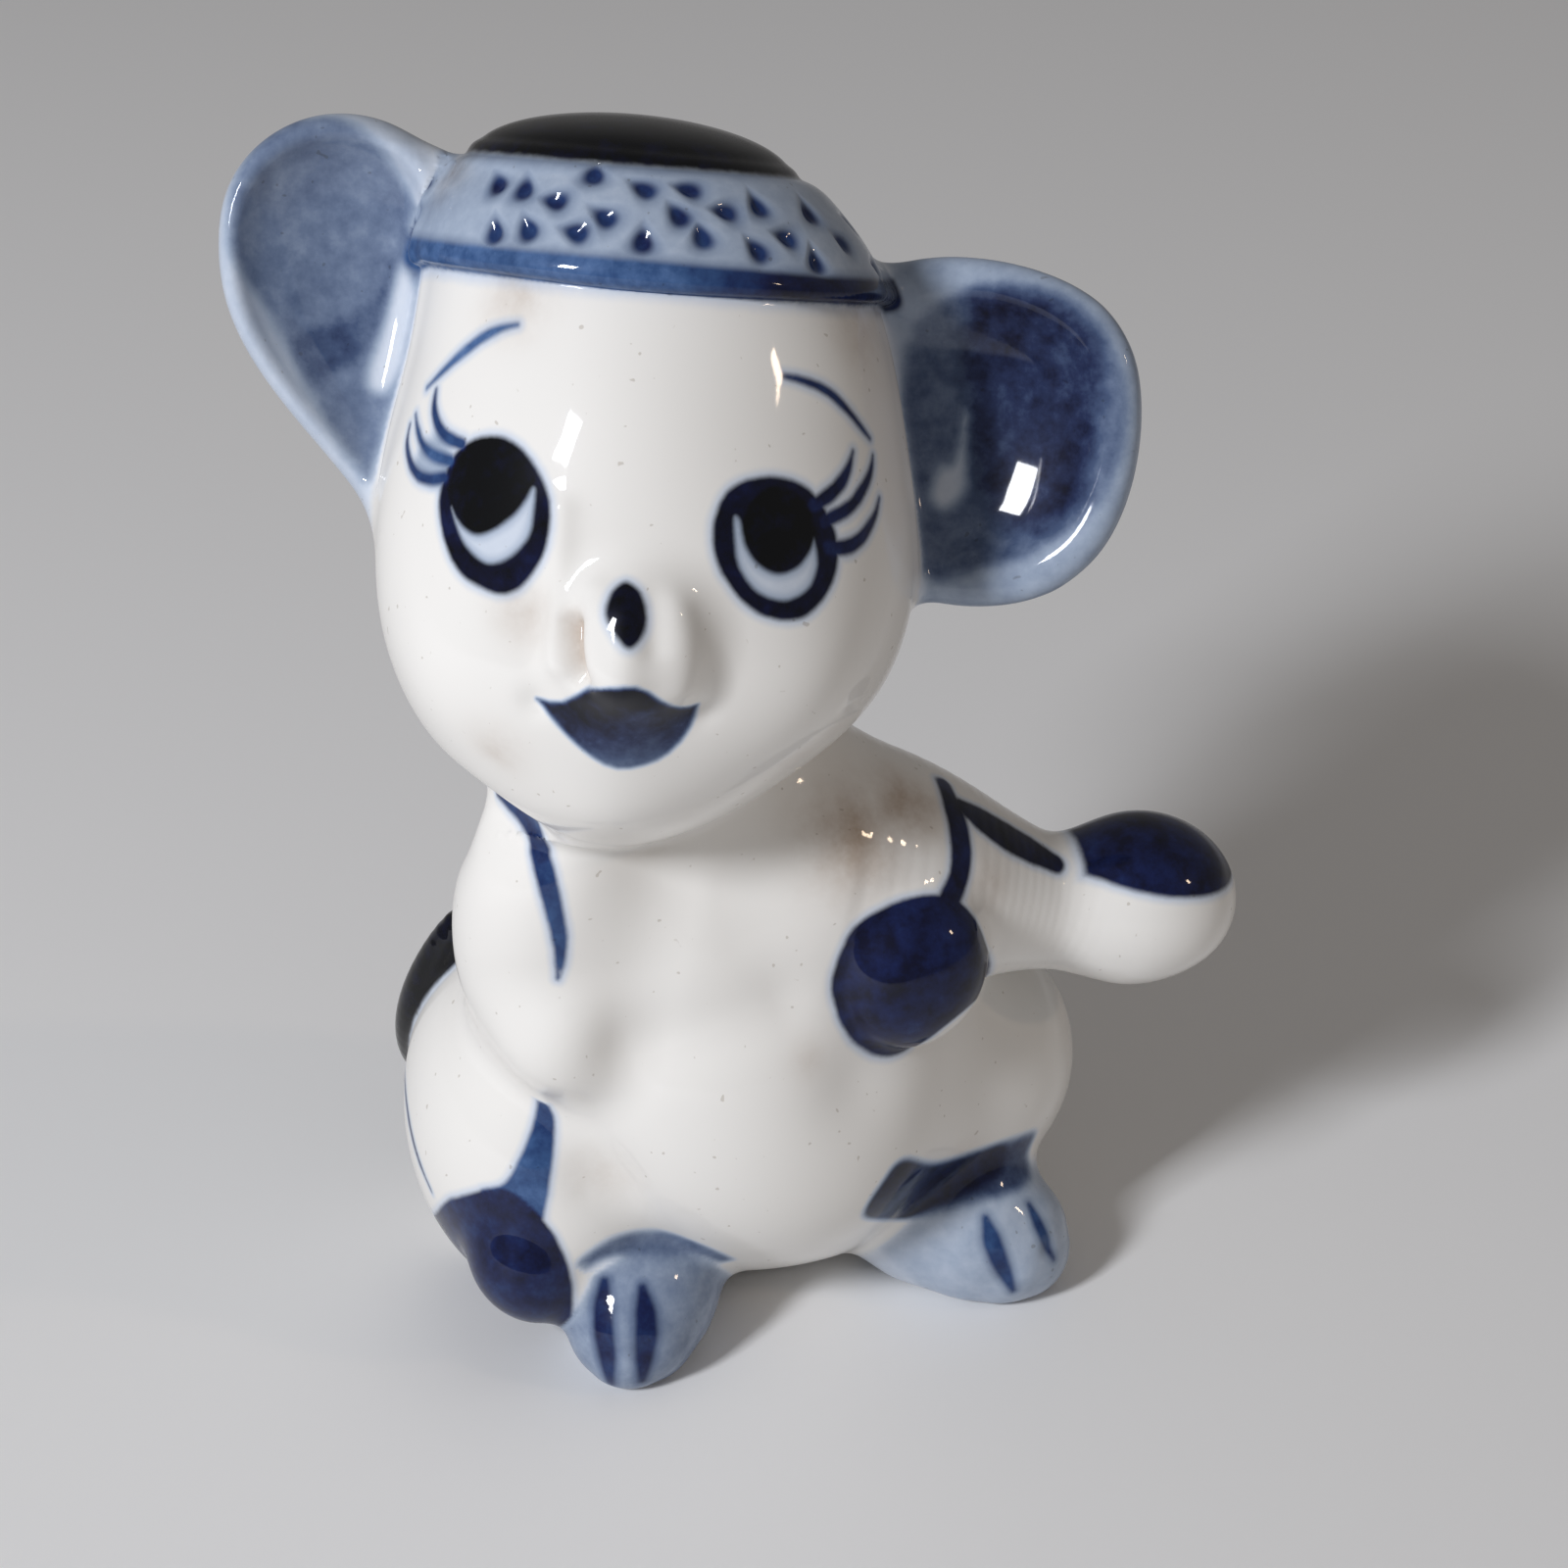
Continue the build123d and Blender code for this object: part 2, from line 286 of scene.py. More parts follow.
lumps = {
    # centre, radii, turn in degrees about x, y, z
    "right_haunch": ((-11.214, 2.32, 9.0), (7.548, 10.2, 9.588), (0, 0, -8)),
    "left_haunch": ((7.2, 0.5, 9.5), (8.0, 7.6, 7.3), (0, 0, 10)),
    "right_heel": ((-14.1, -4.64, 5.6), (3.2, 3.45, 3.6), (0, -25, 0)),
    "left_hand": ((16.947, -4.292, 20.232), (4.7, 4.23, 4.042), (0, 16, 0)),
    "left_elbow": ((3.45, -9.2, 21.3), (3.4, 2.45, 3.85), (0, 35, 0)),
}
rightArm = {
    "centre": (-11.844, -2.784, 23.58), "radii": (4.94, 4.94, 9.5), "turn": (14, 2, 0),
    # the wrist bent in under the arm, and the shoulder pinched up beside the neck
    "stubs": [((-12.348, -5.9, 18.9), 2.6, 3.0), ((-13.0, -3.0, 29.6), 2.4, 2.0)],
}
leftArm = {
    "from": (0.252, -2.9, 24.3), "to": (15.624, -4.176, 19.26), "radius": 6.6,
    "taper": [(0.00, 1.00), (0.22, 0.90), (0.46, 0.70), (0.70, 0.52), (1.00, 0.45)],
}
# each foot is a roll pinched narrow towards the toes
feet = {
    "right_foot": {
        "through": [(-8.3, -3.2, 3.7), (-9.2, -5.6, 3.1), (-10.3, -8.0, 1.8)],
        "taper": [(0, 4.2), (0.5, 4.0), (0.8, 3.3), (1, 2.4)],
    },
    "left_foot": {
        "through": [(6.6, -4.2, 3.6), (8.2, -5.5, 3.1), (10.0, -6.9, 2.2)],
        "taper": [(0, 4.2), (0.5, 4.0), (0.8, 3.5), (1, 2.8)],
    },
}
tail = {
    "radius": 1.5,
    "through": [
        (-3.15, 11.02, 4.32), (-10.71, 12.18, 4.68), (-15.62, 9.98, 7.56),
        (-16.76, 7.42, 12.6), (-14.36, 5.45, 19.44),
    ],
    "taper": [(0, 1.0), (0.25, 0.96), (0.5, 0.9), (0.72, 0.82), (0.88, 0.72), (0.95, 0.55), (1, 0.3)],
}
# the muzzle is luted on under the nose
muzzle = {"place": (-0.238, -10.34, -3.44), "radii": (2.688, 2.352, 2.8)}


def makeForms():
    forms = {"torso_shell": makeStack(torso), "head_shell": makeStack(head, headCentre, headTurn)}
    for name, (centre, radii, turn) in lumps.items():
        forms[name] = makeBall(centre, radii, turned(*turn))
    for name, foot in feet.items():
        along, radius = np.array(foot["taper"]).T
        at = np.linspace(0, 1, 16)
        forms[name] = makeRoll(curveThrough(foot["through"], 16), np.interp(at, along, radius))
    arm = makeBall(rightArm["centre"], rightArm["radii"], turned(*rightArm["turn"]))
    stubs = [(makeBall(centre, [radius] * 3), ease) for centre, radius, ease in rightArm["stubs"]]

    def armDistance(points):
        total = arm["distance"](points)
        for stub, ease in stubs:
            total = softMin(total, stub["distance"](points), ease)
        return total

    forms["right_arm"] = dict(arm, distance=armDistance)
    along, share = np.array(leftArm["taper"]).T
    start, end = np.array(leftArm["from"]), np.array(leftArm["to"])
    at, taper = smoothTable(along, share, 24)
    forms["left_arm"] = makeRoll(start + at[:, None] * (end - start), taper * leftArm["radius"])
    along, share = np.array(tail["taper"]).T
    at, taper = smoothTable(along, share, 40)
    forms["tail"] = makeRoll(curveThrough(tail["through"], 40), taper * tail["radius"])
    forms["muzzle"] = makeBall(fromHead(muzzle["place"]), muzzle["radii"], headTurn)
    forms["head_band"] = makeBand(forms["head_shell"])
    forms["crown"] = makeCrown()
    forms["right_ear"] = makeEar(ears["right"])
    forms["left_ear"] = makeEar(ears["left"])
    return forms


forms = makeForms()
# how far the slip and glaze round off each joint, in mm
softness = {
    "torso_shell": 1.0, "head_shell": 0.9, "right_haunch": 1.6, "left_haunch": 2.8,
    "right_foot": 1.3, "left_foot": 1.8, "right_heel": 0.8, "right_arm": 2.2, "left_arm": 1.8,
    "left_hand": 0.5, "left_elbow": 0.7, "tail": 0.5, "muzzle": 2.1, "head_band": 0.35,
    "crown": 0.3, "right_ear": 1.6, "left_ear": 1.6,
}
cutSoftness = {"floor": 0.5, "vent": 0.4, "ventMouth": 0.5}
# the net laid over the clay, in mm, coarse cells first, and how it settles
skin = {
    "low": (-25.0, -17.0, -1.0), "size": (49.0, 33.0, 64.0), "nudge": 0.013,
    "step": 0.2, "quickStep": 0.25, "coarse": 5, "near": 1.9, "batch": 400000,
    "rounds": 4, "ease": 0.5, "outside": 50.0, "margin": 2.5, "probe": 0.03,
}


def claySurface(points, detail=None):
    # signed distance of the joined clay, and with detail that of each form
    total = np.full(len(points), skin["outside"])
    gaps = np.full((len(forms) if detail else 0, len(points)), skin["outside"])
    for number, (name, form) in enumerate(forms.items()):
        soft = softness[name]
        away = np.linalg.norm(points - form["centre"], axis=1)
        here = np.flatnonzero(away < form["reach"] + soft + skin["margin"])
        if not len(here):
            continue
        value = form["distance"](points[here])
        total[here] = softMin(total[here], value, soft)
        if detail:
            gaps[number, here] = value
    total = softMax(total, -points[:, 2], cutSoftness["floor"])
    ventX, ventY, ventRadius, ventDepth = torso["vent"]
    hole = np.hypot(points[:, 0] - ventX, points[:, 1] - ventY) - ventRadius
    vent = softMax(hole, points[:, 2] - ventDepth, cutSoftness["vent"])
    total = softMax(total, -vent, cutSoftness["ventMouth"])
    return (total, gaps) if detail else total


def surfaceNormals(points):
    # the outward direction at each point, and its distance
    value = claySurface(points)
    slopes = np.zeros_like(points)
    for axis in range(3):
        ahead = points.copy()
        ahead[:, axis] += skin["probe"]
        slopes[:, axis] = claySurface(ahead) - value
    return slopes / (np.linalg.norm(slopes, axis=1, keepdims=True) + 1e-9), value


def skinTheClay(step):
    # walks a grid, refines it near the surface, and nets the zero level with quads
    coarse, batch = skin["coarse"], skin["batch"]
    low = np.array(skin["low"]) + skin["nudge"]
    counts = (np.array(skin["size"]) / step / coarse).astype(int) * coarse
    blocks = counts // coarse
    axes = [low[a] + (np.arange(blocks[a] + 1) * coarse) * step for a in range(3)]
    rough = np.stack(np.meshgrid(*axes, indexing="ij"), -1)
    roughValue = claySurface(rough.reshape(-1, 3)).reshape(rough.shape[:3])
    field = np.full(counts + 1, 1.0, np.float32)
    middle = roughValue[:-1, :-1, :-1]
    inside = np.kron(middle < 0, np.ones((coarse, coarse, coarse), bool))
    field[:-1, :-1, :-1][inside] = -1.0
    close = np.abs(roughValue) < coarse * step * skin["near"]
    near = close[:-1, :-1, :-1] | close[1:, 1:, 1:] | close[1:, :-1, :-1] | close[:-1, 1:, 1:]
    cells = np.argwhere(near) * coarse
    ticks = np.arange(coarse + 1)
    offsets = np.stack(np.meshgrid(ticks, ticks, ticks, indexing="ij"), -1).reshape(-1, 3)
    index = (cells[:, None] + offsets[None]).reshape(-1, 3)
    flat = np.unique(np.ravel_multi_index(index.T, field.shape))
    index = np.stack(np.unravel_index(flat, field.shape), 1)
    values = np.empty(len(index), np.float32)
    for first in range(0, len(index), batch):
        part = index[first:first + batch]
        values[first:first + batch] = claySurface(low + part * step)
    field.reshape(-1)[flat] = values

    inside = field < 0
    nx, ny, nz = inside.shape
    total = np.zeros((nx - 1, ny - 1, nz - 1), np.int8)
    for i, j, k in np.ndindex(2, 2, 2):
        total += inside[i:nx - 1 + i, j:ny - 1 + j, k:nz - 1 + k]
    mixed = (total > 0) & (total < 8)
    number = np.full(total.shape, -1, np.int32)
    number[mixed] = np.arange(mixed.sum())
    points = low + (np.argwhere(mixed) + 0.5) * step
    quads = []
    for axis in range(3):
        a = np.moveaxis(inside, axis, 0)
        cell = np.moveaxis(number, axis, 0)
        change = a[:-1, 1:-1, 1:-1] != a[1:, 1:-1, 1:-1]
        i, j, k = np.nonzero(change)
        outward = a[i, j + 1, k + 1]
        ring = np.stack([cell[i, j, k], cell[i, j + 1, k], cell[i, j + 1, k + 1], cell[i, j, k + 1]], 1)
        flip = outward if axis != 1 else ~outward
        ring[~flip] = ring[~flip][:, ::-1]
        quads.append(ring)
    return points, np.concatenate(quads)


def settle(points, faces):
    # evens out the net and drops it back onto the clay
    edges = np.concatenate([faces[:, [i, (i + 1) % 4]] for i in range(4)])
    both = np.concatenate([edges, edges[:, ::-1]])
    degree = np.bincount(both[:, 0], minlength=len(points))
    for turn in range(skin["rounds"]):
        normals, value = surfaceNormals(points)
        mean = np.stack([np.bincount(both[:, 0], points[both[:, 1], a], len(points))
                         for a in range(3)], 1) / degree[:, None]
        pull = mean - points
        pull -= (pull * normals).sum(1, keepdims=True) * normals
        points = points + skin["ease"] * pull - value[:, None] * normals
    return points


def refine(points, faces, chosen):
    # splits the chosen faces in four, where fine brushwork and pits need it
    mesh = bpy.data.meshes.new("net")
    mesh.from_pydata(points.tolist(), [], faces.tolist())
    net = bmesh.new()
    net.from_mesh(mesh)
    net.faces.ensure_lookup_table()
    edges = {edge for i in np.flatnonzero(chosen) for edge in net.faces[i].edges}
    bmesh.ops.subdivide_edges(net, edges=list(edges), cuts=1, use_grid_fill=True)
    bmesh.ops.triangulate(net, faces=net.faces[:])
    net.to_mesh(mesh)
    net.free()
    points = np.empty(len(mesh.vertices) * 3)
    mesh.vertices.foreach_get("co", points)
    faces = np.empty(len(mesh.polygons) * 3, np.int32)
    mesh.polygons.foreach_get("vertices", faces)
    bpy.data.meshes.remove(mesh)
    return points.reshape(-1, 3), faces.reshape(-1, 3)


# brushwork, laid out flat as the painter sees it, in mm, and dropped onto the clay

frontView = {"azimuth": -17, "elevation": 31, "pin": (0.0, 0.0, 27.0)}
besideArm = {"azimuth": -50, "elevation": -5, "pin": frontView["pin"]}
dropFrom = 32.0
# walks onto the clay: steps, share of the gap in each, how far one may go back or on
longWalk, shortWalk = (160, 0.9, -0.5, 0.7), (60, 0.9, -0.4, 0.6)


def viewAxes(view):
    a, e = radians(view["azimuth"]), radians(view["elevation"])
    back = np.array([sin(a) * cos(e), -cos(a) * cos(e), sin(e)])
    right = np.array([cos(a), sin(a), 0.0])
    return np.array(view["pin"]), right, np.cross(back, right), back


def walkToClay(points, way, walk):
    # moves points along a direction until they lie on the clay
    steps, share, shortest, longest = walk
    for step in range(steps):
        points = points + np.clip(claySurface(points) * share, shortest, longest)[:, None] * way
    return points


def dropOnClay(flat, view):
    pin, right, up, back = viewAxes(view)
    flat = np.atleast_2d(flat)
    points = pin + flat[:, :1] * right + flat[:, 1:] * up + back * dropFrom
    return walkToClay(points, -back, longWalk)


def smoothLoop(points, steps=6):
    # closed Catmull-Rom curve
    points = np.array(points, float)
    before, after, beyond = np.roll(points, 1, 0), np.roll(points, -1, 0), np.roll(points, -2, 0)
    curve = []
    for t in np.arange(steps) / steps:
        curve.append(0.5 * (2 * points + (after - before) * t
                            + (2 * before - 5 * points + 4 * after - beyond) * t ** 2
                            + (3 * points - before - 3 * after + beyond) * t ** 3))
    return np.stack(curve, 1).reshape(-1, 2)


def insideLoop(flat, loop):
    # even-odd test in the painter's plane
    inside = np.zeros(len(flat), bool)
    x, y = flat.T
    for (x0, y0), (x1, y1) in zip(loop, np.roll(loop, -1, 0)):
        crosses = (y0 > y) != (y1 > y)
        at = x0 + (y - y0) * (x1 - x0) / (y1 - y0 + 1e-12)
        inside ^= crosses & (x < at)
    return inside


def strokeGap(mark, points):
    # signed distance, in mm, from a painted mark: negative where there is colour
    if "widths" in mark:
        flat = curveThrough(mark["shape"], 6 * len(mark["shape"]))
        along, widths = np.linspace(0, 1, len(mark["widths"])), np.array(mark["widths"]) / 2
        radii = np.interp(np.linspace(0, 1, len(flat)), along, widths)
        return lineGap(points, dropOnClay(flat, mark["view"]), radii)
    loop = np.array(mark["shape"]) if mark.get("corners") else smoothLoop(mark["shape"])
    rim = dropOnClay(loop, mark["view"])
    pin, right, up, _ = viewAxes(mark["view"])
    gap = lineGap(points, np.concatenate([rim, rim[:1]]), np.zeros(len(rim) + 1))
    flat = np.stack([(points - pin) @ right, (points - pin) @ up], 1)
    return np.where(insideLoop(flat, loop), -gap, gap)


# a mark that names no pieces lies on the face
face = ("head_shell", "muzzle", "right_ear", "left_ear")
underEye = ("head_shell", "muzzle")
wrapped = -0.7


def patch(depth, outline, on=face, view=frontView, behind=-0.15, **more):
    # a filled mark: how dense its colour is, its outline, the pieces it lies on, and how far
    # round the back of a form it goes, as a share of the surface normal
    return dict(more, depth=depth, shape=outline, on=on, view=view, behind=behind)


def stroke(depth, widths, line, **more):
    # one stroke of the brush, with its width along the line
    return patch(depth, line, widths=widths, **more)


brushMarks = {
    "right eye ring": patch(0.93, [
        (-14.43, 11.56), (-14.15, 12.95), (-13.4, 14.05), (-12.05, 14.41), (-10.87, 13.95),
        (-10.06, 12.92), (-9.59, 11.87), (-9.48, 10.83), (-9.77, 9.63), (-10.35, 8.75), (-11.03, 8.08),
        (-11.76, 7.86), (-12.56, 8.19), (-13.35, 8.71), (-14.04, 9.78)]),
    "right eye white": patch(0, [
        (-13.84, 11.56), (-13.39, 10.76), (-12.68, 10.36), (-11.86, 10.59), (-11.04, 11.15),
        (-10.54, 11.72), (-10.22, 12.19), (-10.15, 11.79), (-10.37, 10.51), (-10.87, 9.75), (-11.6, 9.25),
        (-12.33, 9.19), (-12.97, 9.65), (-13.5, 10.42)], reserve=True),
    "right pupil": patch(1.0, [
        (-14.03, 12.24), (-13.62, 13.48), (-12.87, 14.24), (-11.95, 14.39), (-10.96, 13.96),
        (-10.24, 13.13), (-10.15, 12.4), (-10.6, 11.81), (-11.04, 11.22), (-11.86, 10.64),
        (-12.68, 10.41), (-13.39, 10.8), (-13.8, 11.43)]),
    "left eye ring": patch(0.95, [
        (-2.97, 10.31), (-2.84, 11.17), (-2.36, 12.04), (-1.59, 12.51), (-0.64, 12.7), (0.32, 12.58),
        (1.11, 12.18), (1.73, 11.43), (2.17, 10.32), (2.17, 9.19), (1.82, 8.22), (1.2, 7.41),
        (0.41, 6.92), (-0.73, 6.96), (-1.77, 7.59), (-2.54, 8.6), (-2.88, 9.45)]),
    "left eye white": patch(0, [
        (-2.1, 10.91), (-1.88, 10.85), (-1.67, 9.96), (-1.16, 9.11), (-0.29, 8.72), (0.58, 9.08),
        (1.0, 9.77), (1.14, 10.27), (1.32, 9.58), (1.29, 8.97), (0.93, 8.18), (0.06, 7.68), (-0.9, 7.83),
        (-1.59, 8.45), (-1.99, 9.38)], reserve=True),
    "left pupil": patch(1.0, [
        (-1.76, 10.51), (-1.5, 11.46), (-0.98, 12.12), (-0.38, 12.32), (0.41, 12.14), (1.02, 11.57),
        (1.28, 10.62), (1.11, 9.83), (0.58, 9.15), (-0.29, 8.79), (-1.07, 9.15), (-1.59, 9.74)]),
    "right lash low": stroke(0.8, (0.5, 0.5, 0.42, 0.3, 0.12), [
        (-14.19, 12.83), (-14.71, 12.8), (-15.38, 13.01), (-15.87, 13.72), (-16.04, 14.66),
        (-15.92, 15.3)]),
    "right lash mid": stroke(0.72, (0.5, 0.5, 0.4, 0.3, 0.1), [
        (-13.91, 13.51), (-14.47, 13.71), (-15.06, 14.11), (-15.47, 14.87), (-15.65, 15.71)]),
    "right lash top": stroke(0.76, (0.5, 0.55, 0.5, 0.4, 0.16), [
        (-13.36, 14.16), (-14.16, 14.61), (-14.62, 15.37), (-14.72, 16.06), (-14.65, 16.63)]),
    "right brow": stroke(0.56, (0.18, 0.42, 0.45, 0.36, 0.16), [
        (-10.96, 19.01), (-11.79, 18.89), (-12.87, 18.4), (-13.98, 17.66), (-15.1, 16.8)]),
    "left lash low": stroke(0.86, (0.6, 0.7, 0.6, 0.4, 0.12), [
        (1.82, 9.91), (2.35, 9.92), (2.9, 10.11), (3.56, 10.84), (3.88, 11.49), (4.04, 12.15)]),
    "left lash mid": stroke(0.88, (0.6, 0.6, 0.6, 0.45, 0.12), [
        (1.67, 10.97), (2.21, 11.28), (2.76, 11.65), (3.36, 12.53), (3.64, 13.17), (3.76, 13.95)]),
    "left lash top": stroke(0.88, (0.6, 0.7, 0.65, 0.4, 0.12), [
        (1.2, 11.61), (1.74, 11.98), (2.17, 12.38), (2.67, 13.21), (2.89, 14.02)]),
    "left brow": stroke(0.82, (0.2, 0.4, 0.42, 0.36, 0.2), [
        (-0.08, 16.92), (0.79, 16.78), (1.88, 16.38), (2.84, 15.55), (3.62, 14.66)]),
    "nose": patch(0.97, [
        (-6.44, 8.18), (-5.88, 7.75), (-5.6, 6.88), (-5.76, 6.05), (-6.27, 5.54), (-6.82, 6.05),
        (-7.18, 6.88), (-6.96, 7.75)], on=underEye),
    "arm stripe": stroke(0.75, (0.9, 0.95, 1.0, 0.9, 0.8, 0.7, 0.5, 0.15), [
        (-11.52, -2.2), (-11.01, -3.2), (-10.64, -4.28), (-10.35, -5.46), (-10.16, -6.52),
        (-10.11, -7.76), (-10.27, -8.78)], on=("right_arm", "torso_shell", "head_shell")),
    # its start, tucked under the cheek, is placed from beside the arm
    "arm stripe, start": stroke(0.82, (0.25, 0.7, 0.8, 0.85, 0.9), [
        (-6.91, 5.58), (-5.82, 5.5), (-4.81, 5.28), (-3.97, 4.91),
        (-3.28, 4.08)], on=("right_arm", "torso_shell", "head_shell"), view=besideArm),
    "haunch stripe": patch(0.76, [
        (-11.66, -13.97), (-11.24, -14.84), (-10.83, -15.9), (-11.01, -18.22), (-11.33, -20.05),
        (-11.75, -21.54), (-13.03, -20.6), (-14.49, -19.44), (-13.29, -18.96), (-12.26, -17.21),
        (-11.63, -15.23)], on=("right_haunch", "torso_shell", "right_foot"), fade=(-15.0, -19.5, 0.62)),
    "heel": patch(0.86, [
        (-16.6, -20.5), (-15.31, -19.72), (-13.3, -19.2), (-11.58, -20.55), (-10.4, -22.77),
        (-10.2, -25.2), (-10.9, -27.4), (-13.6, -28.2), (-16.6, -26.2),
        (-18.0, -23.0)], on=("right_heel", "right_haunch"), behind=wrapped),
    "right toe a": stroke(0.84, (0.35, 0.95, 1.0, 0.85, 0.35), [
        (-8.63, -23.9), (-8.7, -25.7), (-8.55, -27.6), (-8.39, -29.0)], on="right_foot"),
    "right toe b": stroke(0.84, (0.35, 0.95, 1.05, 0.85, 0.35), [
        (-6.8, -24.2), (-6.6, -25.7), (-6.65, -27.3), (-6.85, -28.8)], on="right_foot"),
    "left ankle, pooled": patch(0.9, [
        (3.9, -20.5), (4.7, -19.0), (5.67, -18.0), (7.34, -18.55), (9.3, -18.25), (10.8, -17.9),
        (10.6, -19.2), (9.2, -20.0), (7.5, -20.6), (6.05, -21.3),
        (4.9, -21.0)], on=("left_foot", "left_haunch", "torso_shell")),
    "left toe a": stroke(0.74, (0.3, 0.85, 0.9, 0.7, 0.25), [
        (9.94, -21.4), (10.5, -23.2), (11.4, -25.2)], on="left_foot"),
    "left toe b": stroke(0.76, (0.25, 0.6, 0.55, 0.2), [
        (12.16, -20.87), (12.82, -22.26), (13.43, -23.63)], on="left_foot"),
    "shoulder stripe": stroke(0.9, (0.9, 1.2, 1.25, 1.2, 1.1, 1.0), [
        (7.5, 0.0), (7.95, -1.28), (8.2, -2.64), (8.19, -3.87), (7.79, -5.07),
        (6.98, -6.08)], on=("left_arm", "torso_shell", "left_elbow")),
    "arm top stripe": stroke(0.93, (0.9, 1.6, 1.8, 1.6, 1.1), [
        (8.3, -1.0), (9.5, -1.8), (10.8, -2.6), (12.1, -3.3),
        (12.9, -3.75)], on=("left_arm", "torso_shell"), behind=wrapped),
    "elbow": patch(0.9, [
        (2.19, -9.02), (2.6, -7.7), (3.21, -6.56), (4.3, -5.8), (5.68, -5.25), (6.9, -5.1), (7.93, -5.33),
        (8.8, -6.2), (9.36, -7.38), (9.77, -8.8), (9.2, -9.8), (7.5, -11.2), (5.8, -12.5), (4.65, -12.8),
        (3.6, -12.3), (2.8, -11.4),
        (2.3, -10.1)], on=("left_elbow", "left_arm", "torso_shell"), behind=wrapped),
    "haunch line": stroke(0.8, (0.3, 0.4, 0.4, 0.35, 0.15), [
        (-19.17, -12.95), (-18.82, -14.59), (-18.51, -16.15), (-17.87, -18.35),
        (-17.2, -19.82)], on="right_haunch"),
}
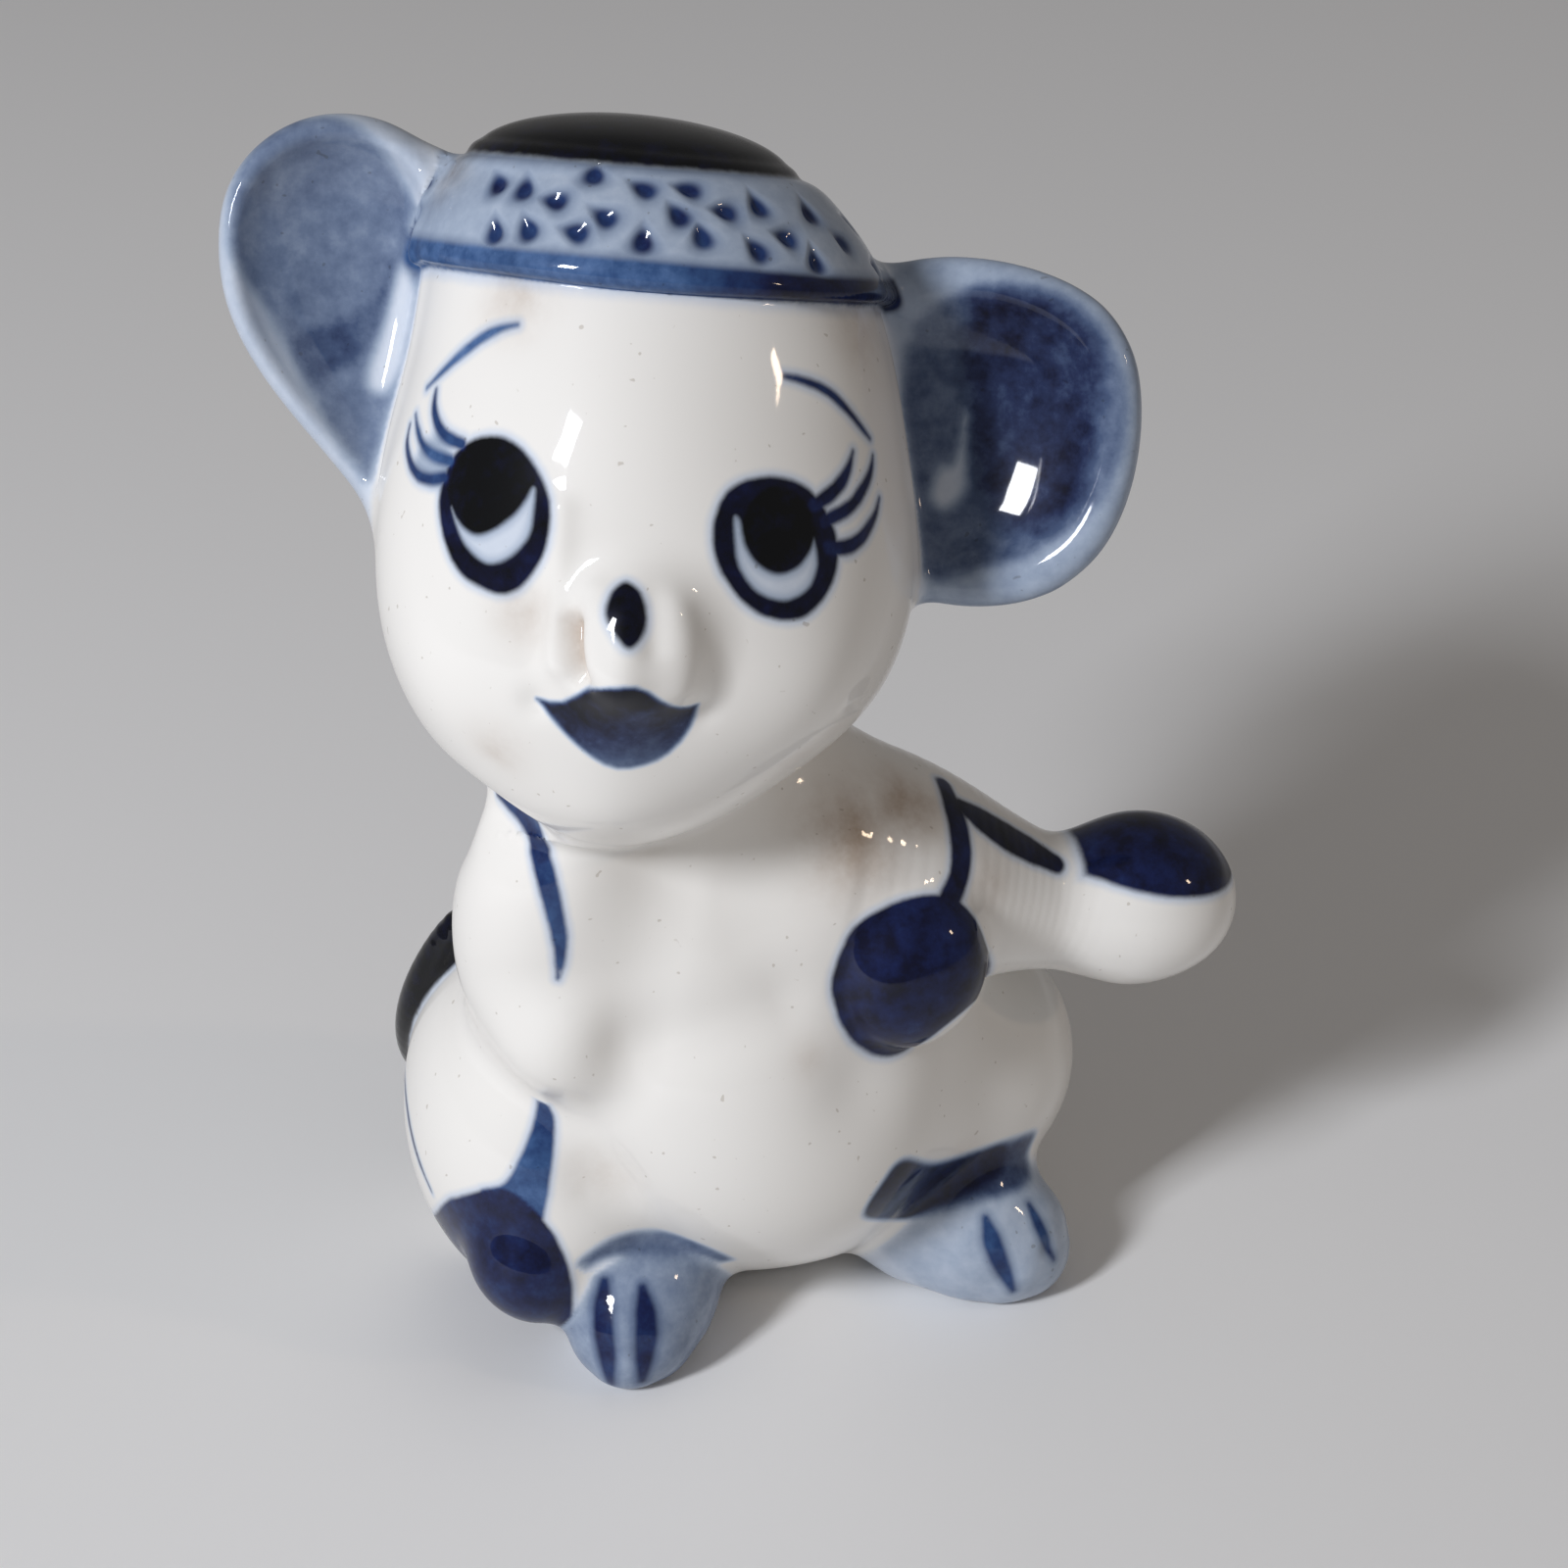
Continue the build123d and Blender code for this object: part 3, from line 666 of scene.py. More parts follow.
washMarks = {
    "lips": patch(1.12, [
        (-10.34, 3.51), (-9.75, 3.4), (-9.2, 3.4), (-8.65, 3.6), (-8.08, 3.82), (-7.55, 4.0),
        (-6.99, 4.1), (-6.5, 4.12), (-6.09, 4.06), (-5.6, 3.8), (-5.13, 3.47), (-4.7, 3.27), (-4.3, 3.17),
        (-3.9, 3.16), (-3.55, 3.21), (-3.7, 2.8), (-3.93, 2.4), (-4.35, 1.8), (-4.84, 1.35),
        (-5.35, 1.05), (-5.91, 0.88), (-6.45, 0.78), (-7.0, 0.77), (-7.5, 0.92), (-8.04, 1.23),
        (-8.5, 1.57), (-8.93, 1.96), (-9.3, 2.35), (-9.62, 2.71),
        (-10.0, 3.15)], on=underEye, corners=True, soft=0.22, fade=(3.9, 1.1, 0.62)),
    "right eye tint": patch(0.13, [
        (-14.0, 11.5), (-12.9, 13.8), (-10.6, 13.4), (-9.8, 11.0), (-11.6, 8.4), (-13.5, 9.4)]),
    "left eye tint": patch(0.15, [
        (-2.7, 10.3), (-1.6, 12.2), (0.4, 12.3), (1.9, 10.3), (1.0, 7.6), (-0.8, 7.2), (-2.3, 8.7)]),
    "right ear wash": patch(0.5, [
        (-24.0, 25.2), (-23.3, 27.2), (-21.5, 28.7), (-19.32, 28.9), (-17.68, 27.8), (-16.56, 26.02),
        (-14.96, 22.86), (-14.67, 20.84), (-15.52, 18.87), (-16.72, 16.08), (-17.93, 14.26),
        (-18.44, 13.44), (-19.57, 15.06), (-21.06, 17.62), (-22.49, 20.57),
        (-23.9, 22.94)], on="right_ear", soft=0.5),
    "right ear dark": patch(0.64, [
        (-21.53, 19.59), (-19.93, 20.36), (-18.01, 21.7), (-17.33, 22.97), (-17.15, 21.28),
        (-18.25, 19.55), (-20.31, 17.93), (-21.1, 18.3)], on="right_ear"),
    "right ear pale": patch(0.12, [
        (-16.65, 22.92), (-16.24, 21.22), (-16.69, 19.07), (-17.58, 17.37), (-18.46, 17.81),
        (-17.73, 20.42), (-17.17, 22.33)], on="right_ear"),
    # the left ear's washes are dense partly as cobalt and partly as painted shade, the ear lying in the
    # head's shadow
    "left ear wash, deepened for shade": patch(0.58, [
        (5.35, 18.18), (5.89, 20.28), (7.57, 21.62), (9.88, 21.82), (12.21, 21.29), (14.03, 19.47),
        (14.99, 17.13), (14.85, 14.59), (13.58, 12.07), (11.31, 10.44), (8.73, 9.6), (6.54, 9.15),
        (5.93, 10.74), (5.36, 13.62)], on="left_ear"),
    "left ear dark, deepened for shade": patch(0.84, [
        (8.63, 21.57), (11.78, 21.21), (13.9, 19.25), (13.8, 15.96), (12.79, 12.14), (10.48, 11.14),
        (9.21, 12.28), (8.12, 15.81), (8.07, 19.63)], on="left_ear", soft=0.8),
    "left ear pale": patch(0.16, [
        (8.12, 16.67), (7.69, 14.51), (6.95, 14.08), (6.6, 12.98), (7.13, 12.32), (8.13, 13.18),
        (8.13, 14.94)], on="left_ear"),
    "right foot wash": patch(0.42, [
        (-9.91, -23.02), (-8.39, -21.8), (-6.54, -21.4), (-4.67, -21.6), (-2.6, -22.4), (-2.0, -24.0),
        (-2.8, -26.6), (-4.3, -28.8), (-7.21, -30.2), (-9.6, -29.8), (-11.4, -27.4)], on="right_foot"),
    "right ankle": stroke(0.55, (0.7, 1.2, 1.4, 1.3, 0.9), [
        (-9.5, -22.95), (-8.4, -22.3), (-6.55, -22.0), (-4.68, -22.2),
        (-3.0, -23.0)], on=("right_foot", "torso_shell", "right_haunch"), soft=0.4),
    # the left foot's wash is kept thin partly as painted light, where the foot catches the lamp
    "left foot wash, paled for highlight": patch(0.28, [
        (4.3, -21.25), (4.8, -22.93), (6.12, -24.38), (7.79, -26.1), (9.73, -27.2), (11.72, -27.4),
        (13.6, -26.4), (14.6, -23.8), (13.9, -21.0), (12.12, -19.0), (9.72, -20.0),
        (6.72, -20.8)], on="left_foot"),
    "left ankle": patch(0.7, [
        (3.94, -20.46), (4.81, -18.77), (5.67, -17.93), (7.34, -18.42), (9.64, -18.0), (11.49, -17.55),
        (12.45, -17.42), (12.17, -18.45), (12.05, -19.86), (9.74, -20.48), (7.78, -20.98), (6.05, -21.3),
        (4.92, -21.04)], on=("left_foot", "left_haunch", "torso_shell")),
    "right lash haze": patch(0.26, [
        (-13.7, 12.4), (-14.9, 12.6), (-15.6, 13.4), (-15.2, 14.4), (-14.2, 14.6)]),
}
# pressed teardrop pits round the headband, where the front ones show
pitPlaces = [
    (-12.0, 25.11), (-10.83, 24.75), (-9.47, 24.11), (-12.05, 22.92), (-10.6, 22.91),
    (-8.54, 22.67), (-7.86, 25.28), (-7.37, 23.3), (-5.77, 24.59), (-5.78, 22.25),
    (-3.92, 24.64), (-4.31, 23.41), (-3.34, 22.51), (-2.39, 23.71), (-1.02, 24.1),
    (-1.05, 22.07), (0.16, 22.78), (1.11, 24.13), (2.77, 24.36), (2.53, 23.05), (1.39, 21.86),
    (4.0, 22.37),
]
pits = {
    "long": 0.62, "wide": 0.46, "taper": 0.45, "tip": 0.12, "depth": 0.26, "fall": 1.1, "paint": 0.8,
    "rim": 0.85, "edge": 0.45, "reach": 1.8,
    "rows": (13.1, 14.3, 15.3), "perRow": 15, "radius": 13, "from": 92, "over": 190,
    "sway": 4, "bob": 0.35, "aim": 0.9, "aimSway": 0.7,
}


def pitCentres():
    # the front pits as placed, and the same spacing carried on behind, uneven by sines of odd pitch
    centres = list(dropOnClay(pitPlaces, frontView))
    radius = pits["radius"]
    for row, height in enumerate(pits["rows"]):
        for i in range(pits["perRow"]):
            turn = (i + 0.5 * (row % 2)) * pits["over"] / pits["perRow"]
            angle = radians(pits["from"] + turn + pits["sway"] * sin(7.1 * i + row))
            lift = height + pits["bob"] * sin(4.7 * i + 2 * row)
            start = np.array([radius * sin(angle), -radius * cos(angle), lift])
            inward = -np.array([sin(angle), -cos(angle), 0.0])
            centres.append(walkToClay(fromHead(start)[None], headTurn @ inward, shortWalk)[0])
    return np.array(centres)


def pitShape(points, centre, normal, number):
    # 0 at the middle of a pit, 1 on its edge, drawn out to a tail on one side
    swing = pits["aim"] + pits["aimSway"] * sin(2.3 * number)
    side = np.cross(normal, headTurn[:, 2])
    side = side / np.linalg.norm(side)
    rise = np.cross(side, normal)
    along = (points - centre) @ (rise * sin(swing) + side * cos(swing))
    across = (points - centre) @ (side * sin(swing) - rise * cos(swing))
    wide = np.maximum(pits["wide"] * (1 - pits["taper"] * along / pits["long"]), pits["tip"])
    return np.hypot(along / pits["long"], across / wide)


# shallow swellings and hollows pressed by the fingers: spot or streak in the front view,
# reach, and how far it stands out
reliefs = {
    "forehead": ((-6.6, 15.0), 5.5, 0.55),
    "right cheek": ((-14.4, 4.5), 3.6, 0.5),
    "left cheek": ((1.3, 4.4), 3.6, 0.55),
    "chin": ((-7.6, -1.0), 2.6, 0.3),
    "right jaw": ([(-15.6, 1.2), (-12.6, -1.2)], 2.4, -1.1),
    "right snout groove": ([(-8.75, 6.5), (-8.5, 4.4)], 0.6, -0.8),
    "right snout wing": ([(-7.75, 7.8), (-7.75, 4.9)], 0.7, 0.16),
    "right snout ridge": ([(-9.1, 11.2), (-9.45, 5.0)], 0.7, 0.26),
    "left snout hollow": ([(-5.4, 7.3), (-5.3, 5.6)], 0.7, -0.2),
    "left snout ridge": ([(-4.4, 6.9), (-4.2, 4.0)], 0.9, 0.2),
    "nose tip": ((-6.4, 6.9), 1.1, 0.28),
    "under the nose": ([(-6.5, 5.2), (-6.6, 4.3)], 0.9, 0.26),
    "upper lip": ((-7.0, 3.9), 1.1, 0.24),
    "lower lip": ((-6.7, 2.0), 1.5, 0.28),
    "mouth corner, right": ((-10.4, 3.4), 0.7, -0.2),
    "mouth corner, left": ((-3.5, 3.1), 0.7, -0.2),
    "hollow under right eye": ((-10.6, 7.4), 1.8, -0.22),
    "groin hollow": ((-9.1, -18.6), 2.4, -0.5),
    "belly": ((-2.0, -16.5), 5.5, 0.35),
    "waist": ([(-7.0, -12.2), (-4.0, -11.6), (-0.4, -10.4)], 1.9, -0.42),
    "right paw": ((-9.3, -10.6), 1.9, 0.3),
    "chest": ((-5.6, -7.4), 3.0, 0.3),
    "hollow under the elbow": ((3.4, -14.0), 2.2, -0.35),
    "right toe groove a": ((-8.4, -27.4), 0.6, -0.18),
    "right toe groove b": ((-6.8, -27.3), 0.6, -0.18),
    "left toe groove a": ((11.1, -24.3), 0.6, -0.2),
    "left toe groove b": ((13.1, -23.1), 0.5, -0.16),
}
# faint brown haze, partly real staining where the glaze ran thin and partly painted warm shade on the
# shaded shoulder and in creases and grooves: spot or streak, reach, strength
stainsAndShade = [
    ((-14.1, 26.2), 1.4, 1.0), ((-11.0, 20.2), 1.7, 0.4), ((3.2, 19.6), 1.9, 0.55),
    ([(-8.7, 6.5), (-8.45, 4.6)], 0.6, 0.9), ((-10.8, 7.1), 1.3, 0.35), ((3.3, -2.4), 2.6, 0.8),
    ((5.6, -0.9), 1.9, 0.9), ((9.6, -4.4), 1.3, 0.4), ((-8.7, -18.6), 1.5, 0.3),
    ((-12.0, 1.6), 1.2, 0.3), ((8.6, -18.4), 1.2, 0.3), ((1.2, -12.6), 1.0, 0.25),
]

# the part of the head where the net is made finer for the face
faceArea = {"front": -3.5, "low": -9.5, "high": 10.5}

print("skinning the clay")
clayPoints, clayFaces = skinTheClay(skin["step"])
clayPoints = settle(clayPoints, clayFaces)
names = list(forms)
middle = clayPoints[clayFaces].mean(1)
owner = claySurface(middle, True)[1].argmin(0)
inHead = toHead(middle)
onFace = (inHead[:, 2] > faceArea["low"]) & (inHead[:, 2] < faceArea["high"])
onFace &= inHead[:, 1] < faceArea["front"]
fine = onFace & np.isin(owner, [names.index("head_shell"), names.index("muzzle")])
fine |= owner == names.index("head_band")
clayPoints, clayFaces = refine(clayPoints, clayFaces, fine)
normals, gap = surfaceNormals(clayPoints)
clayPoints = clayPoints - gap[:, None] * normals
print("skin:", len(clayPoints), "points", len(clayFaces), "faces")

print("painting")
formGaps = claySurface(clayPoints, True)[1]


def swell(flat, reach):
    # how strongly a soft spot or streak of the front view bears on each point
    path = dropOnClay(flat, frontView)
    path = np.concatenate([path, path[-1:]])  # a lone spot is a line without length
    return np.exp(-(lineGap(clayPoints, path, np.zeros(len(path))) / reach) ** 2)


# how softly strokes and washes end, how far off they are looked for, and how steeply they end at
# a joint, beyond it and behind a form
brush = {
    "soft": 0.12, "washSoft": 0.45, "far": 1.5, "reach": 1.7, "margin": 3.0,
    "joint": 0.6, "beyond": 3, "behind": 4, "slack": 0.1, "overlap": 0.06, "inset": 0.05,
}


def pieceEdge(chosen):
    # signed distance, in mm, from the joint round some pieces: negative on them
    mine = np.isin(names, chosen)
    gap = (formGaps[mine].min(0) - formGaps[~mine].min(0)) * brush["joint"]
    return np.clip(gap, -brush["far"], brush["far"])


def markGap(mark, near):
    # signed distance from one mark, ended softly at the joints of the pieces it lies on
    edge = pieceEdge(mark["on"])[near]
    edge = np.where(edge > 0, brush["beyond"] * edge, edge)
    back = viewAxes(mark["view"])[3]
    turnedOff = brush["behind"] * (mark["behind"] - normals[near] @ back)
    return np.maximum(np.maximum(strokeGap(mark, clayPoints[near]), turnedOff), edge)


def marked(mark):
    # the points of the clay that a mark can reach
    shape = np.array(mark["shape"])
    centre = dropOnClay(shape.mean(0), mark["view"])[0]
    reach = np.linalg.norm(shape - shape.mean(0), axis=1).max() * brush["reach"] + brush["margin"]
    near = np.linalg.norm(clayPoints - centre, axis=1) < reach
    facing = normals @ viewAxes(mark["view"])[3] > mark["behind"] - brush["slack"]
    return np.flatnonzero(near & facing)


def markDepth(mark, near):
    # some marks thin out from one height of the front view to another
    if "fade" not in mark:
        return mark["depth"]
    top, bottom, faded = mark["fade"]
    pin, _, up, _ = viewAxes(frontView)
    share = np.clip((top - (clayPoints[near] - pin) @ up) / (top - bottom), 0, 1)
    return mark["depth"] + (faded - mark["depth"]) * share


def eased(gap, soft):
    share = np.clip(0.5 - gap / (2 * soft), 0, 1)
    return share * share * (3 - 2 * share)


brushEdge, brushDepth = np.full(len(clayPoints), brush["far"]), np.zeros(len(clayPoints))


def layBrush(here, gap, depth):
    # crisp strokes: the colour of the nearest, and the later one where two overlap
    depth = np.broadcast_to(depth, gap.shape)
    nearer = (gap < brushEdge[here]) & (brushEdge[here] > 0)
    brushDepth[here] = np.where(nearer, depth, brushDepth[here])
    share = eased(gap, brush["soft"])
    brushDepth[here] += (depth - brushDepth[here]) * share
    brushEdge[here] = np.minimum(brushEdge[here], gap)


for mark in brushMarks.values():
    here = marked(mark)
    gap = markGap(mark, here)
    if mark.get("reserve"):
        brushEdge[here] = np.maximum(brushEdge[here], -gap)
        continue
    layBrush(here, gap, markDepth(mark, here))

washDepth = np.zeros(len(clayPoints))
everywhere = np.arange(len(clayPoints))
# thin washes all over an ear, a foot or the headband, before the darker patches: density, softness
underWashes = {
    "right_ear": (0.22, 0.5), "left_ear": (0.34, 0.5), "head_band": (0.3, 0.12),
    "right_foot": (0.24, 0.5), "left_foot": (0.2, 0.5),
}
for piece, (depth, soft) in underWashes.items():
    washDepth += (depth - washDepth) * eased(pieceEdge(piece) + brush["inset"], soft)
for mark in washMarks.values():
    here = marked(mark)
    share = eased(markGap(mark, here), mark.get("soft", brush["washSoft"]))
    washDepth[here] += (markDepth(mark, here) - washDepth[here]) * share

# the crown and tail are covered all round, and the hand is dipped from above
handDip = {"x": 16.9, "height": 22.3, "slope": -0.22, "depth": 0.9}
dipLine = handDip["height"] + handDip["slope"] * (clayPoints[:, 0] - handDip["x"])
handEdge = pieceEdge("left_hand") - brush["overlap"]
layBrush(everywhere, np.maximum(dipLine - clayPoints[:, 2], handEdge), handDip["depth"])
for piece in ("crown", "tail"):
    layBrush(everywhere, pieceEdge(piece) - brush["overlap"], 1.0)
# a darker line along the headband's lower edge, darker still towards the left ear, partly cobalt pooled
# there and partly painted shade
bandLine = {"height": 1.0, "from": 0.0, "to": 6.0, "depthsIntoShade": (0.62, 0.9), "overlap": 0.04}
local = (clayPoints - bandCentre) @ bandTurn
fromFoot = local[:, 2] + band["height"] / 2
# the line's density rises towards the left ear, where it partly stands in for shade
lineDepthWithShade = np.interp(local[:, 0], (bandLine["from"], bandLine["to"]), bandLine["depthsIntoShade"])
bandEdge = pieceEdge("head_band")
lineEdge = np.maximum(fromFoot - bandLine["height"], bandEdge - bandLine["overlap"])
layBrush(everywhere, lineEdge, lineDepthWithShade)

centres = pitCentres()
pitNormals = surfaceNormals(centres)[0]
sunk = np.zeros(len(clayPoints))
bandPoints = np.flatnonzero(bandEdge < 0)
for number, (centre, normal) in enumerate(zip(centres, pitNormals)):
    here = bandPoints[np.linalg.norm(clayPoints[bandPoints] - centre, axis=1) < pits["reach"]]
    shape = pitShape(clayPoints[here], centre, normal, number)
    sunk[here] = np.maximum(sunk[here], pits["depth"] * np.exp(-(shape ** 2) * pits["fall"]))
    layBrush(here, (shape - pits["rim"]) * pits["edge"], pits["paint"])
# the brown haze, partly glaze staining and partly painted shade in creases, grooves and on the shaded
# shoulder
stainAndWarmShade = np.zeros(len(clayPoints))
for flat, reach, strength in stainsAndShade:
    stainAndWarmShade = np.maximum(stainAndWarmShade, strength * swell(flat, reach))
rise = -sunk
for flat, reach, height in reliefs.values():
    rise += height * swell(flat, reach)
clayPoints = clayPoints + rise[:, None] * normals
# what the glaze reads at each point of the clay
attributes = {
    "brushEdge": brushEdge, "brushDepth": brushDepth, "washDepth": washDepth, "stainAndWarmShade": stainAndWarmShade}


def linear(code, alpha=1.0):
    values = [int(code[i:i + 2], 16) / 255 for i in (1, 3, 5)]
    return (*[v / 12.92 if v <= 0.04045 else ((v + 0.055) / 1.055) ** 2.4 for v in values], alpha)


def addNode(tree, kind, settings=None, stops=(), output=0):
    # a socket in the settings is linked, and stops are the colours of a ramp; gives a socket
    node = tree.nodes.new("ShaderNode" + kind)
    for key, value in (settings or {}).items():
        if isinstance(value, bpy.types.NodeSocket):
            tree.links.new(value, node.inputs[key])
        elif isinstance(key, str) and hasattr(node, key):
            setattr(node, key, value)
        else:
            node.inputs[key].default_value = value
    for number, (position, code) in enumerate(stops):
        elements = node.color_ramp.elements
        element = elements[number] if number < len(elements) else elements.new(position)
        element.position, element.color = position, linear(code)
    return node.outputs[output]


def glazedPorcelain(name, recipe):
    # slip-cast porcelain with cobalt under a clear lime glaze: warm white, wet gloss, soft blue edges
    material = bpy.data.materials.new(name)
    material.use_nodes = True
    tree = material.node_tree
    shader = tree.nodes["Principled BSDF"]
    place = addNode(tree, "TexCoord", output="Object")
    fine = addNode(tree, "TexNoise", {
        "Scale": recipe["brushGrain"] / mm, "Detail": 4.0, "Roughness": 0.6, "Vector": place})
    broad = addNode(tree, "TexNoise", {
        "Scale": recipe["washCloud"] / mm, "Detail": 5.0, "Roughness": 0.65, "Vector": place})
    edgeIn, depthIn, washIn, stainAndShadeIn = [
        addNode(tree, "Attribute", {"attribute_name": key}, output="Fac") for key in attributes]

    # the brush leaves a slightly ragged edge, and cobalt bleeds a little way out into the glaze
    ragged = addNode(tree, "Math", {
        "operation": "MULTIPLY_ADD", 0: fine, 1: recipe["ragged"], 2: -recipe["ragged"] / 2})
    edge = addNode(tree, "Math", {"operation": "ADD", 0: edgeIn, 1: ragged})
    brushLow, brushHigh = recipe["brushSoft"]
    cover = addNode(tree, "MapRange", {
        "interpolation_type": "SMOOTHSTEP", "Value": edge, "From Min": brushLow,
        "From Max": brushHigh, "To Min": 1.0, "To Max": 0.0})
    bleed = addNode(tree, "MapRange", {
        "interpolation_type": "SMOOTHSTEP", "Value": edge, "From Max": recipe["bleedWidth"],
        "To Min": recipe["bleedDepth"], "To Max": 0.0})

    # streaks in the strokes, fainter where they are dense, and clouds in the washes
    pooled = addNode(tree, "Math", {"operation": "ADD", 0: fine, 1: broad})
    grain = addNode(tree, "Math", {
        "operation": "MULTIPLY_ADD", 0: pooled, 1: recipe["streak"], 2: -recipe["streak"]})
    room = addNode(tree, "Math", {"operation": "SUBTRACT", 0: recipe["fullest"], 1: depthIn})
    thick = addNode(tree, "Math", {
        "operation": "MULTIPLY_ADD", "use_clamp": True, 0: grain, 1: room, 2: depthIn})
    mottle = addNode(tree, "MapRange", {
        "Value": pooled, "From Min": 0.7, "From Max": 1.3, "To Min": 1 - recipe["mottle"],
        "To Max": 1 + recipe["mottle"]})
    thin = addNode(tree, "Math", {
        "operation": "MULTIPLY_ADD", "use_clamp": True, 0: washIn, 1: mottle, 2: bleed})
    washed = addNode(tree, "ValToRGB", {"Fac": thin}, recipe["wash"])
    stroked = addNode(tree, "ValToRGB", {"Fac": thick}, recipe["cobalt"])
    painted = addNode(tree, "Mix", {"data_type": "RGBA", 0: cover, 6: washed, 7: stroked}, output=2)

    # warm haze, partly where the glaze ran thin and partly painted warm shade in creases and on the
    # shoulder, and a few iron specks
    patches = addNode(tree, "MapRange", {
        "Value": broad, "From Min": 0.35, "From Max": 0.7, "To Min": 0.3})
    haze = addNode(tree, "Math", {"operation": "MULTIPLY", 0: stainAndShadeIn, 1: patches})
    dust = addNode(tree, "TexNoise", {
        "Scale": recipe["speckle"] / mm, "Detail": 0.0, "Vector": place})
    specks = addNode(tree, "MapRange", {
        "Value": dust, "From Min": 0.82, "From Max": 0.86, "To Max": 0.4})
    for share, code in ((haze, recipe["stainAndShade"]), (specks, recipe["speck"])):
        painted = addNode(tree, "Mix", {
            "data_type": "RGBA", "blend_type": "MULTIPLY", 0: share, 6: painted, 7: linear(code)},
            output=2)
    tree.links.new(painted, shader.inputs["Base Color"])

    # the coat of glaze is a little wavy over the clay
    ripple = addNode(tree, "TexNoise", {
        "Scale": recipe["glazeCell"] / mm, "Detail": 1.0, "Roughness": 0.4, "Vector": place})
    wavy = addNode(tree, "Bump", {
        "Strength": 1.0, "Distance": recipe["glazeWave"] * mm, "Height": ripple})
    tree.links.new(wavy, shader.inputs["Coat Normal"])
    for key, value in recipe["shader"].items():
        shader.inputs[key].default_value = value
    return material


glazeRecipe = {
    "brushGrain": 1.1, "washCloud": 0.3, "ragged": 0.14, "brushSoft": (-0.15, 0.18),
    "bleedWidth": 0.5, "bleedDepth": 0.14, "streak": 0.55, "fullest": 1.3, "mottle": 0.16,
    "glazeWave": 0.04, "glazeCell": 0.35, "speckle": 3.1,
    "wash": [
        (0.0, "#edeae5"), (0.12, "#d0d7e2"), (0.3, "#a2afc2"), (0.48, "#72819b"),
        (0.64, "#465676"), (0.8, "#232e50"), (0.92, "#0f1530"), (1.0, "#060918")],
    "cobalt": [
        (0.0, "#c4cfe2"), (0.4, "#8298b9"), (0.55, "#4f6c99"), (0.66, "#35527f"),
        (0.78, "#1f3562"), (0.86, "#121d47"), (0.93, "#080c28"), (1.0, "#020306")],
    "stainAndShade": "#9c7443", "speck": "#a89a88",
    "shader": {
        "Roughness": 0.42, "Specular IOR Level": 0.05, "IOR": 1.5,
        "Coat Weight": 0.6, "Coat Roughness": 0.05, "Coat IOR": 1.52},
}
glaze = glazedPorcelain("cobaltPaintedPorcelain", glazeRecipe)

# cutting the skin apart along the luted joints
print("cutting pieces")
whole = bpy.data.meshes.new("whole")
whole.from_pydata((clayPoints * mm).tolist(), [], clayFaces.tolist())
pointNormals = np.empty(len(clayPoints) * 3)
whole.vertex_normals.foreach_get("vector", pointNormals)
pointNormals = pointNormals.reshape(-1, 3)
bpy.data.meshes.remove(whole)
faceOwner = claySurface(clayPoints[clayFaces].mean(1), True)[1].argmin(0)


def openRims(faces):
    # the loops of edges where a piece was cut from its neighbours
    edges = np.concatenate([faces[:, [0, 1]], faces[:, [1, 2]], faces[:, [2, 0]]])
    _, first, uses = np.unique(np.sort(edges, 1), axis=0, return_index=True, return_counts=True)
    rim = edges[first[uses == 1]]
    label = {point: point for point in np.unique(rim).tolist()}

    def root(point):
        while label[point] != point:
            label[point] = label[label[point]]
            point = label[point]
        return point

    for a, b in rim.tolist():
        label[root(a)] = root(b)
    groups = {}
    for a, b in rim.tolist():
        groups.setdefault(root(a), []).append((a, b))
    return list(groups.values())


def capPiece(faces, points, directions, tuck=0.6, sink=3.0, dives=10):
    # turns each open rim in under the neighbour, then closes it deep in the clay
    added, capFaces = [], []
    for rim in openRims(faces):
        around = np.unique(rim)
        first = len(points) + len(added)
        inner = {point: first + i for i, point in enumerate(around.tolist())}
        tucked = points[around] - tuck * directions[around]
        centre = tucked.mean(0)[None]
        for dive in range(dives):
            centre = centre - surfaceNormals(centre)[0] * sink / dives
        added += [*tucked, centre[0]]
        last = first + len(around)
        for a, b in rim:
            capFaces += [(b, a, inner[a], inner[b]), (inner[b], inner[a], last)]
    return np.array(added).reshape(-1, 3), capFaces


def addObject(name, data):
    thing = bpy.data.objects.new(name, data)
    bpy.context.scene.collection.objects.link(thing)
    return thing


for number, name in enumerate(names):
    used, renumbered = np.unique(clayFaces[faceOwner == number], return_inverse=True)
    faces = renumbered.reshape(-1, 3)
    added, capFaces = capPiece(faces, clayPoints[used], pointNormals[used])
    corners = np.concatenate([clayPoints[used], added])
    mesh = bpy.data.meshes.new(name + "_glazed")
    mesh.from_pydata((corners * mm).tolist(), [], faces.tolist() + capFaces)
    mesh.polygons.foreach_set("use_smooth", np.ones(len(mesh.polygons), bool))
    for key, values in attributes.items():
        layer = mesh.attributes.new(key, "FLOAT", "POINT")
        layer.data.foreach_set("value", np.concatenate([values[used], np.ones(len(added))]))
    directions = np.concatenate([pointNormals[used], np.tile((0.0, 0.0, 1.0), (len(added), 1))])
    mesh.normals_split_custom_set_from_vertices(directions.tolist())
    mesh.materials.append(glaze)
    piece = addObject(name + "_glazed", mesh)
    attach(piece, "root")
    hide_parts(name)
    print(name, len(faces), "faces,", len(capFaces), "inside the joints")

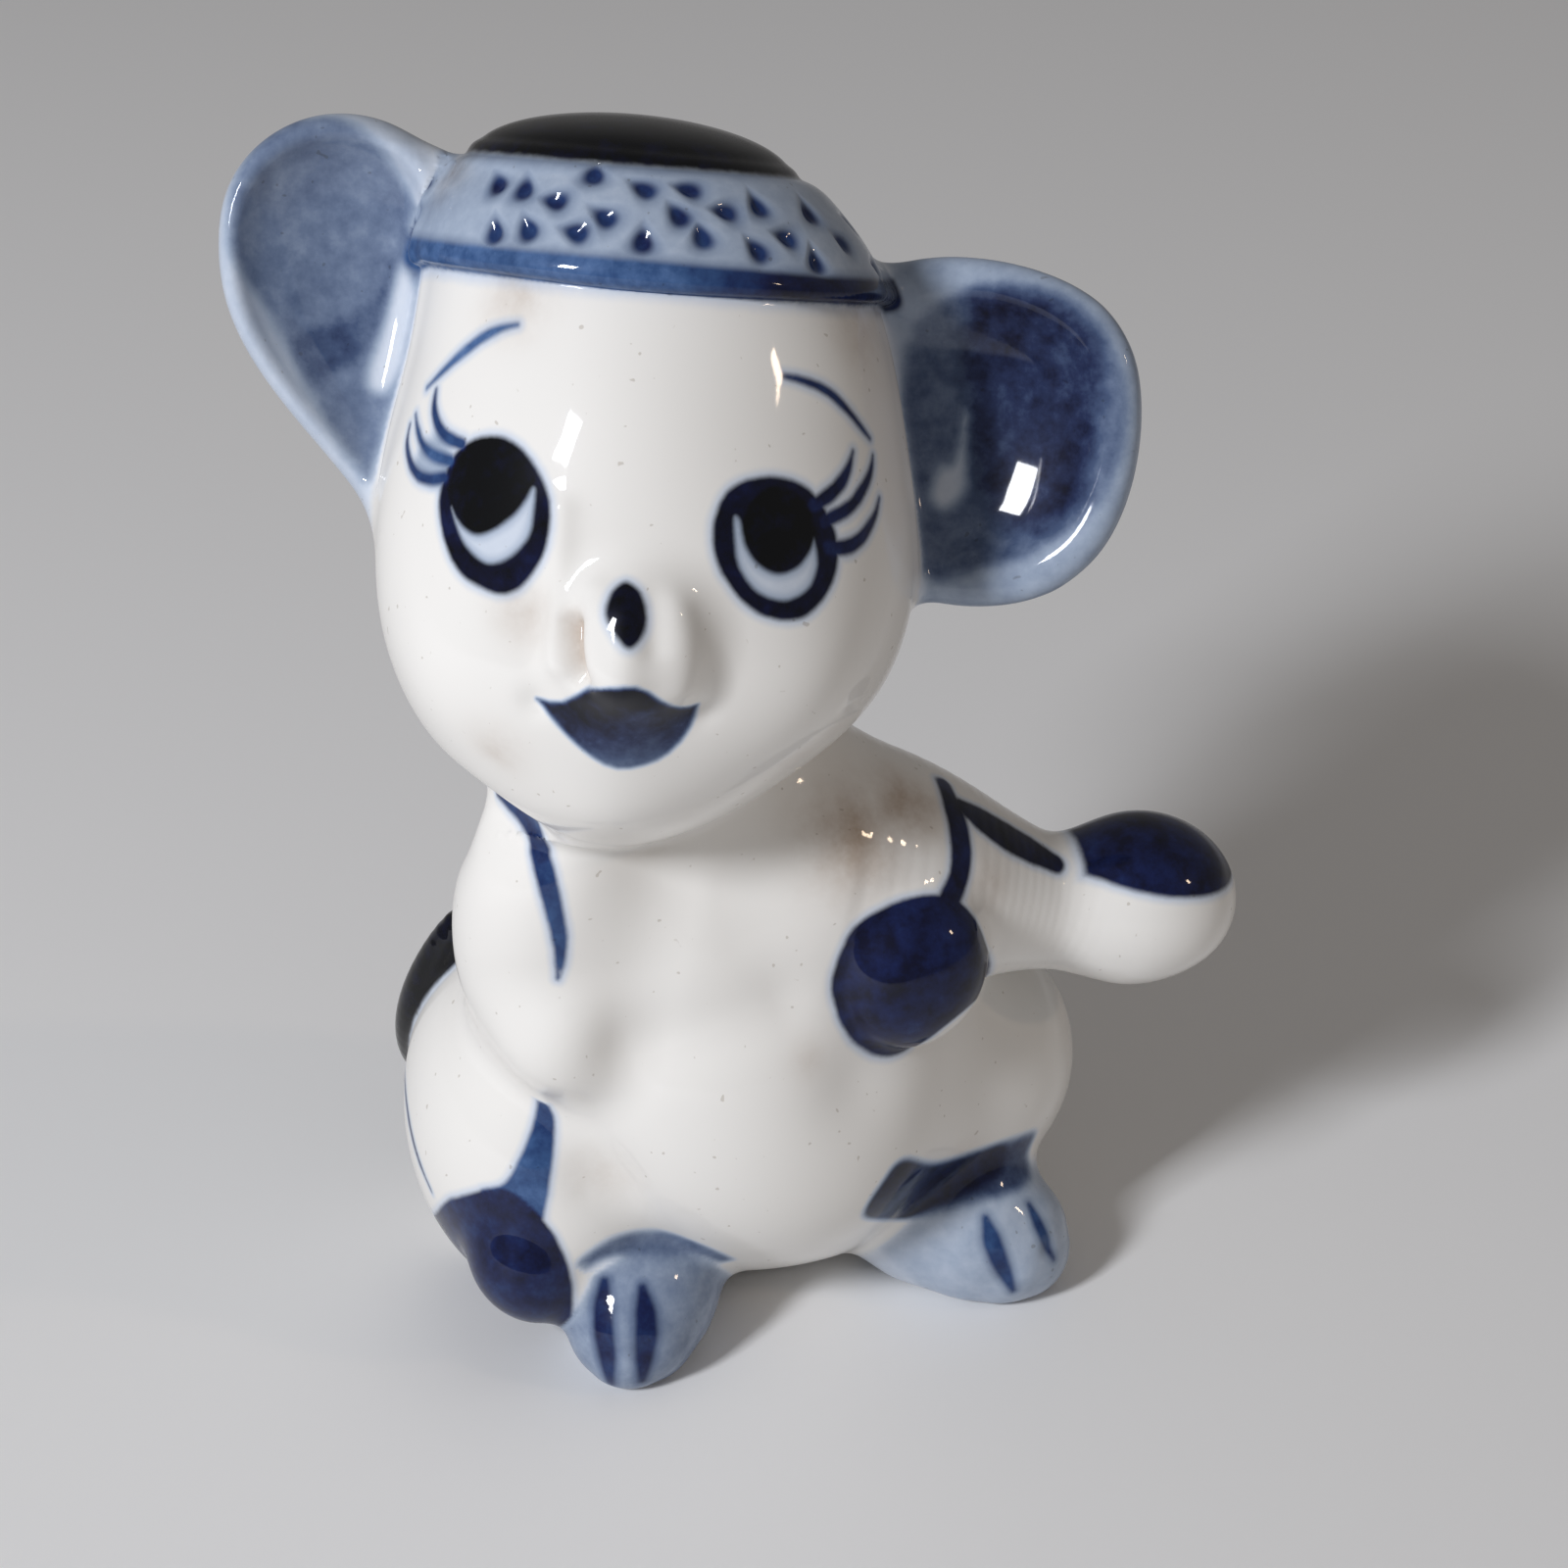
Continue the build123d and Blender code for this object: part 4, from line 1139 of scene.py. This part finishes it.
# floor, lights and camera
stage = {"size": 1.6, "floor": "#efeeed", "roughness": 0.6, "sky": "#cfcdcc", "skyStrength": 0.3}
floorMesh = bpy.data.meshes.new("floor")
half = stage["size"] / 2
floorMesh.from_pydata(
    [(-half, -half, 0), (half, -half, 0), (half, half, 0), (-half, half, 0)], [], [(0, 1, 2, 3)])
floor = addObject("floor", floorMesh)
paper = bpy.data.materials.new("paleStudioPaper")
paper.use_nodes = True
paperShader = paper.node_tree.nodes["Principled BSDF"]
paperShader.inputs["Base Color"].default_value = linear(stage["floor"])
paperShader.inputs["Roughness"].default_value = stage["roughness"]
floorMesh.materials.append(paper)

world = bpy.data.worlds.new("studio")
bpy.context.scene.world = world
world.use_nodes = True
background = world.node_tree.nodes["Background"]
background.inputs["Color"].default_value = linear(stage["sky"])
background.inputs["Strength"].default_value = stage["skyStrength"]

lamps = {
    # direction towards the lamp, distance, width, height, watts, colour
    "softWindow": ((-0.74, -0.40, 0.56), 0.5, 0.075, 0.12, 1.9, "#f6f9ff"),
    "warmFill": ((0.75, -0.45, 0.5), 0.6, 0.03, 0.045, 0.16, "#ffe2c4"),
}
pin = Vector(frontView["pin"]) * mm
for name, (way, distance, width, height, watts, code) in lamps.items():
    lampData = bpy.data.lights.new(name, "AREA")
    lampData.shape = "RECTANGLE"
    lampData.size, lampData.size_y = width, height
    lampData.energy = watts
    lampData.color = linear(code)[:3]
    lamp = addObject(name, lampData)
    lamp.location = pin + Vector(way).normalized() * distance
    lamp.rotation_euler = (lamp.location - pin).to_track_quat("Z", "Y").to_euler()

cameraPlace = {"lens": 81.0, "sensor": 36.0, "distance": 0.168, "clip": 0.005}
back = Vector(viewAxes(frontView)[3])
cameraData = bpy.data.cameras.new("camera")
cameraData.lens = cameraPlace["lens"]
cameraData.sensor_width = cameraPlace["sensor"]
cameraData.clip_start = cameraPlace["clip"]
camera = addObject("camera", cameraData)
camera.location = pin + back * cameraPlace["distance"]
camera.rotation_euler = back.to_track_quat("Z", "Y").to_euler()
bpy.context.scene.camera = camera
bpy.context.scene.view_settings.view_transform = "Standard"
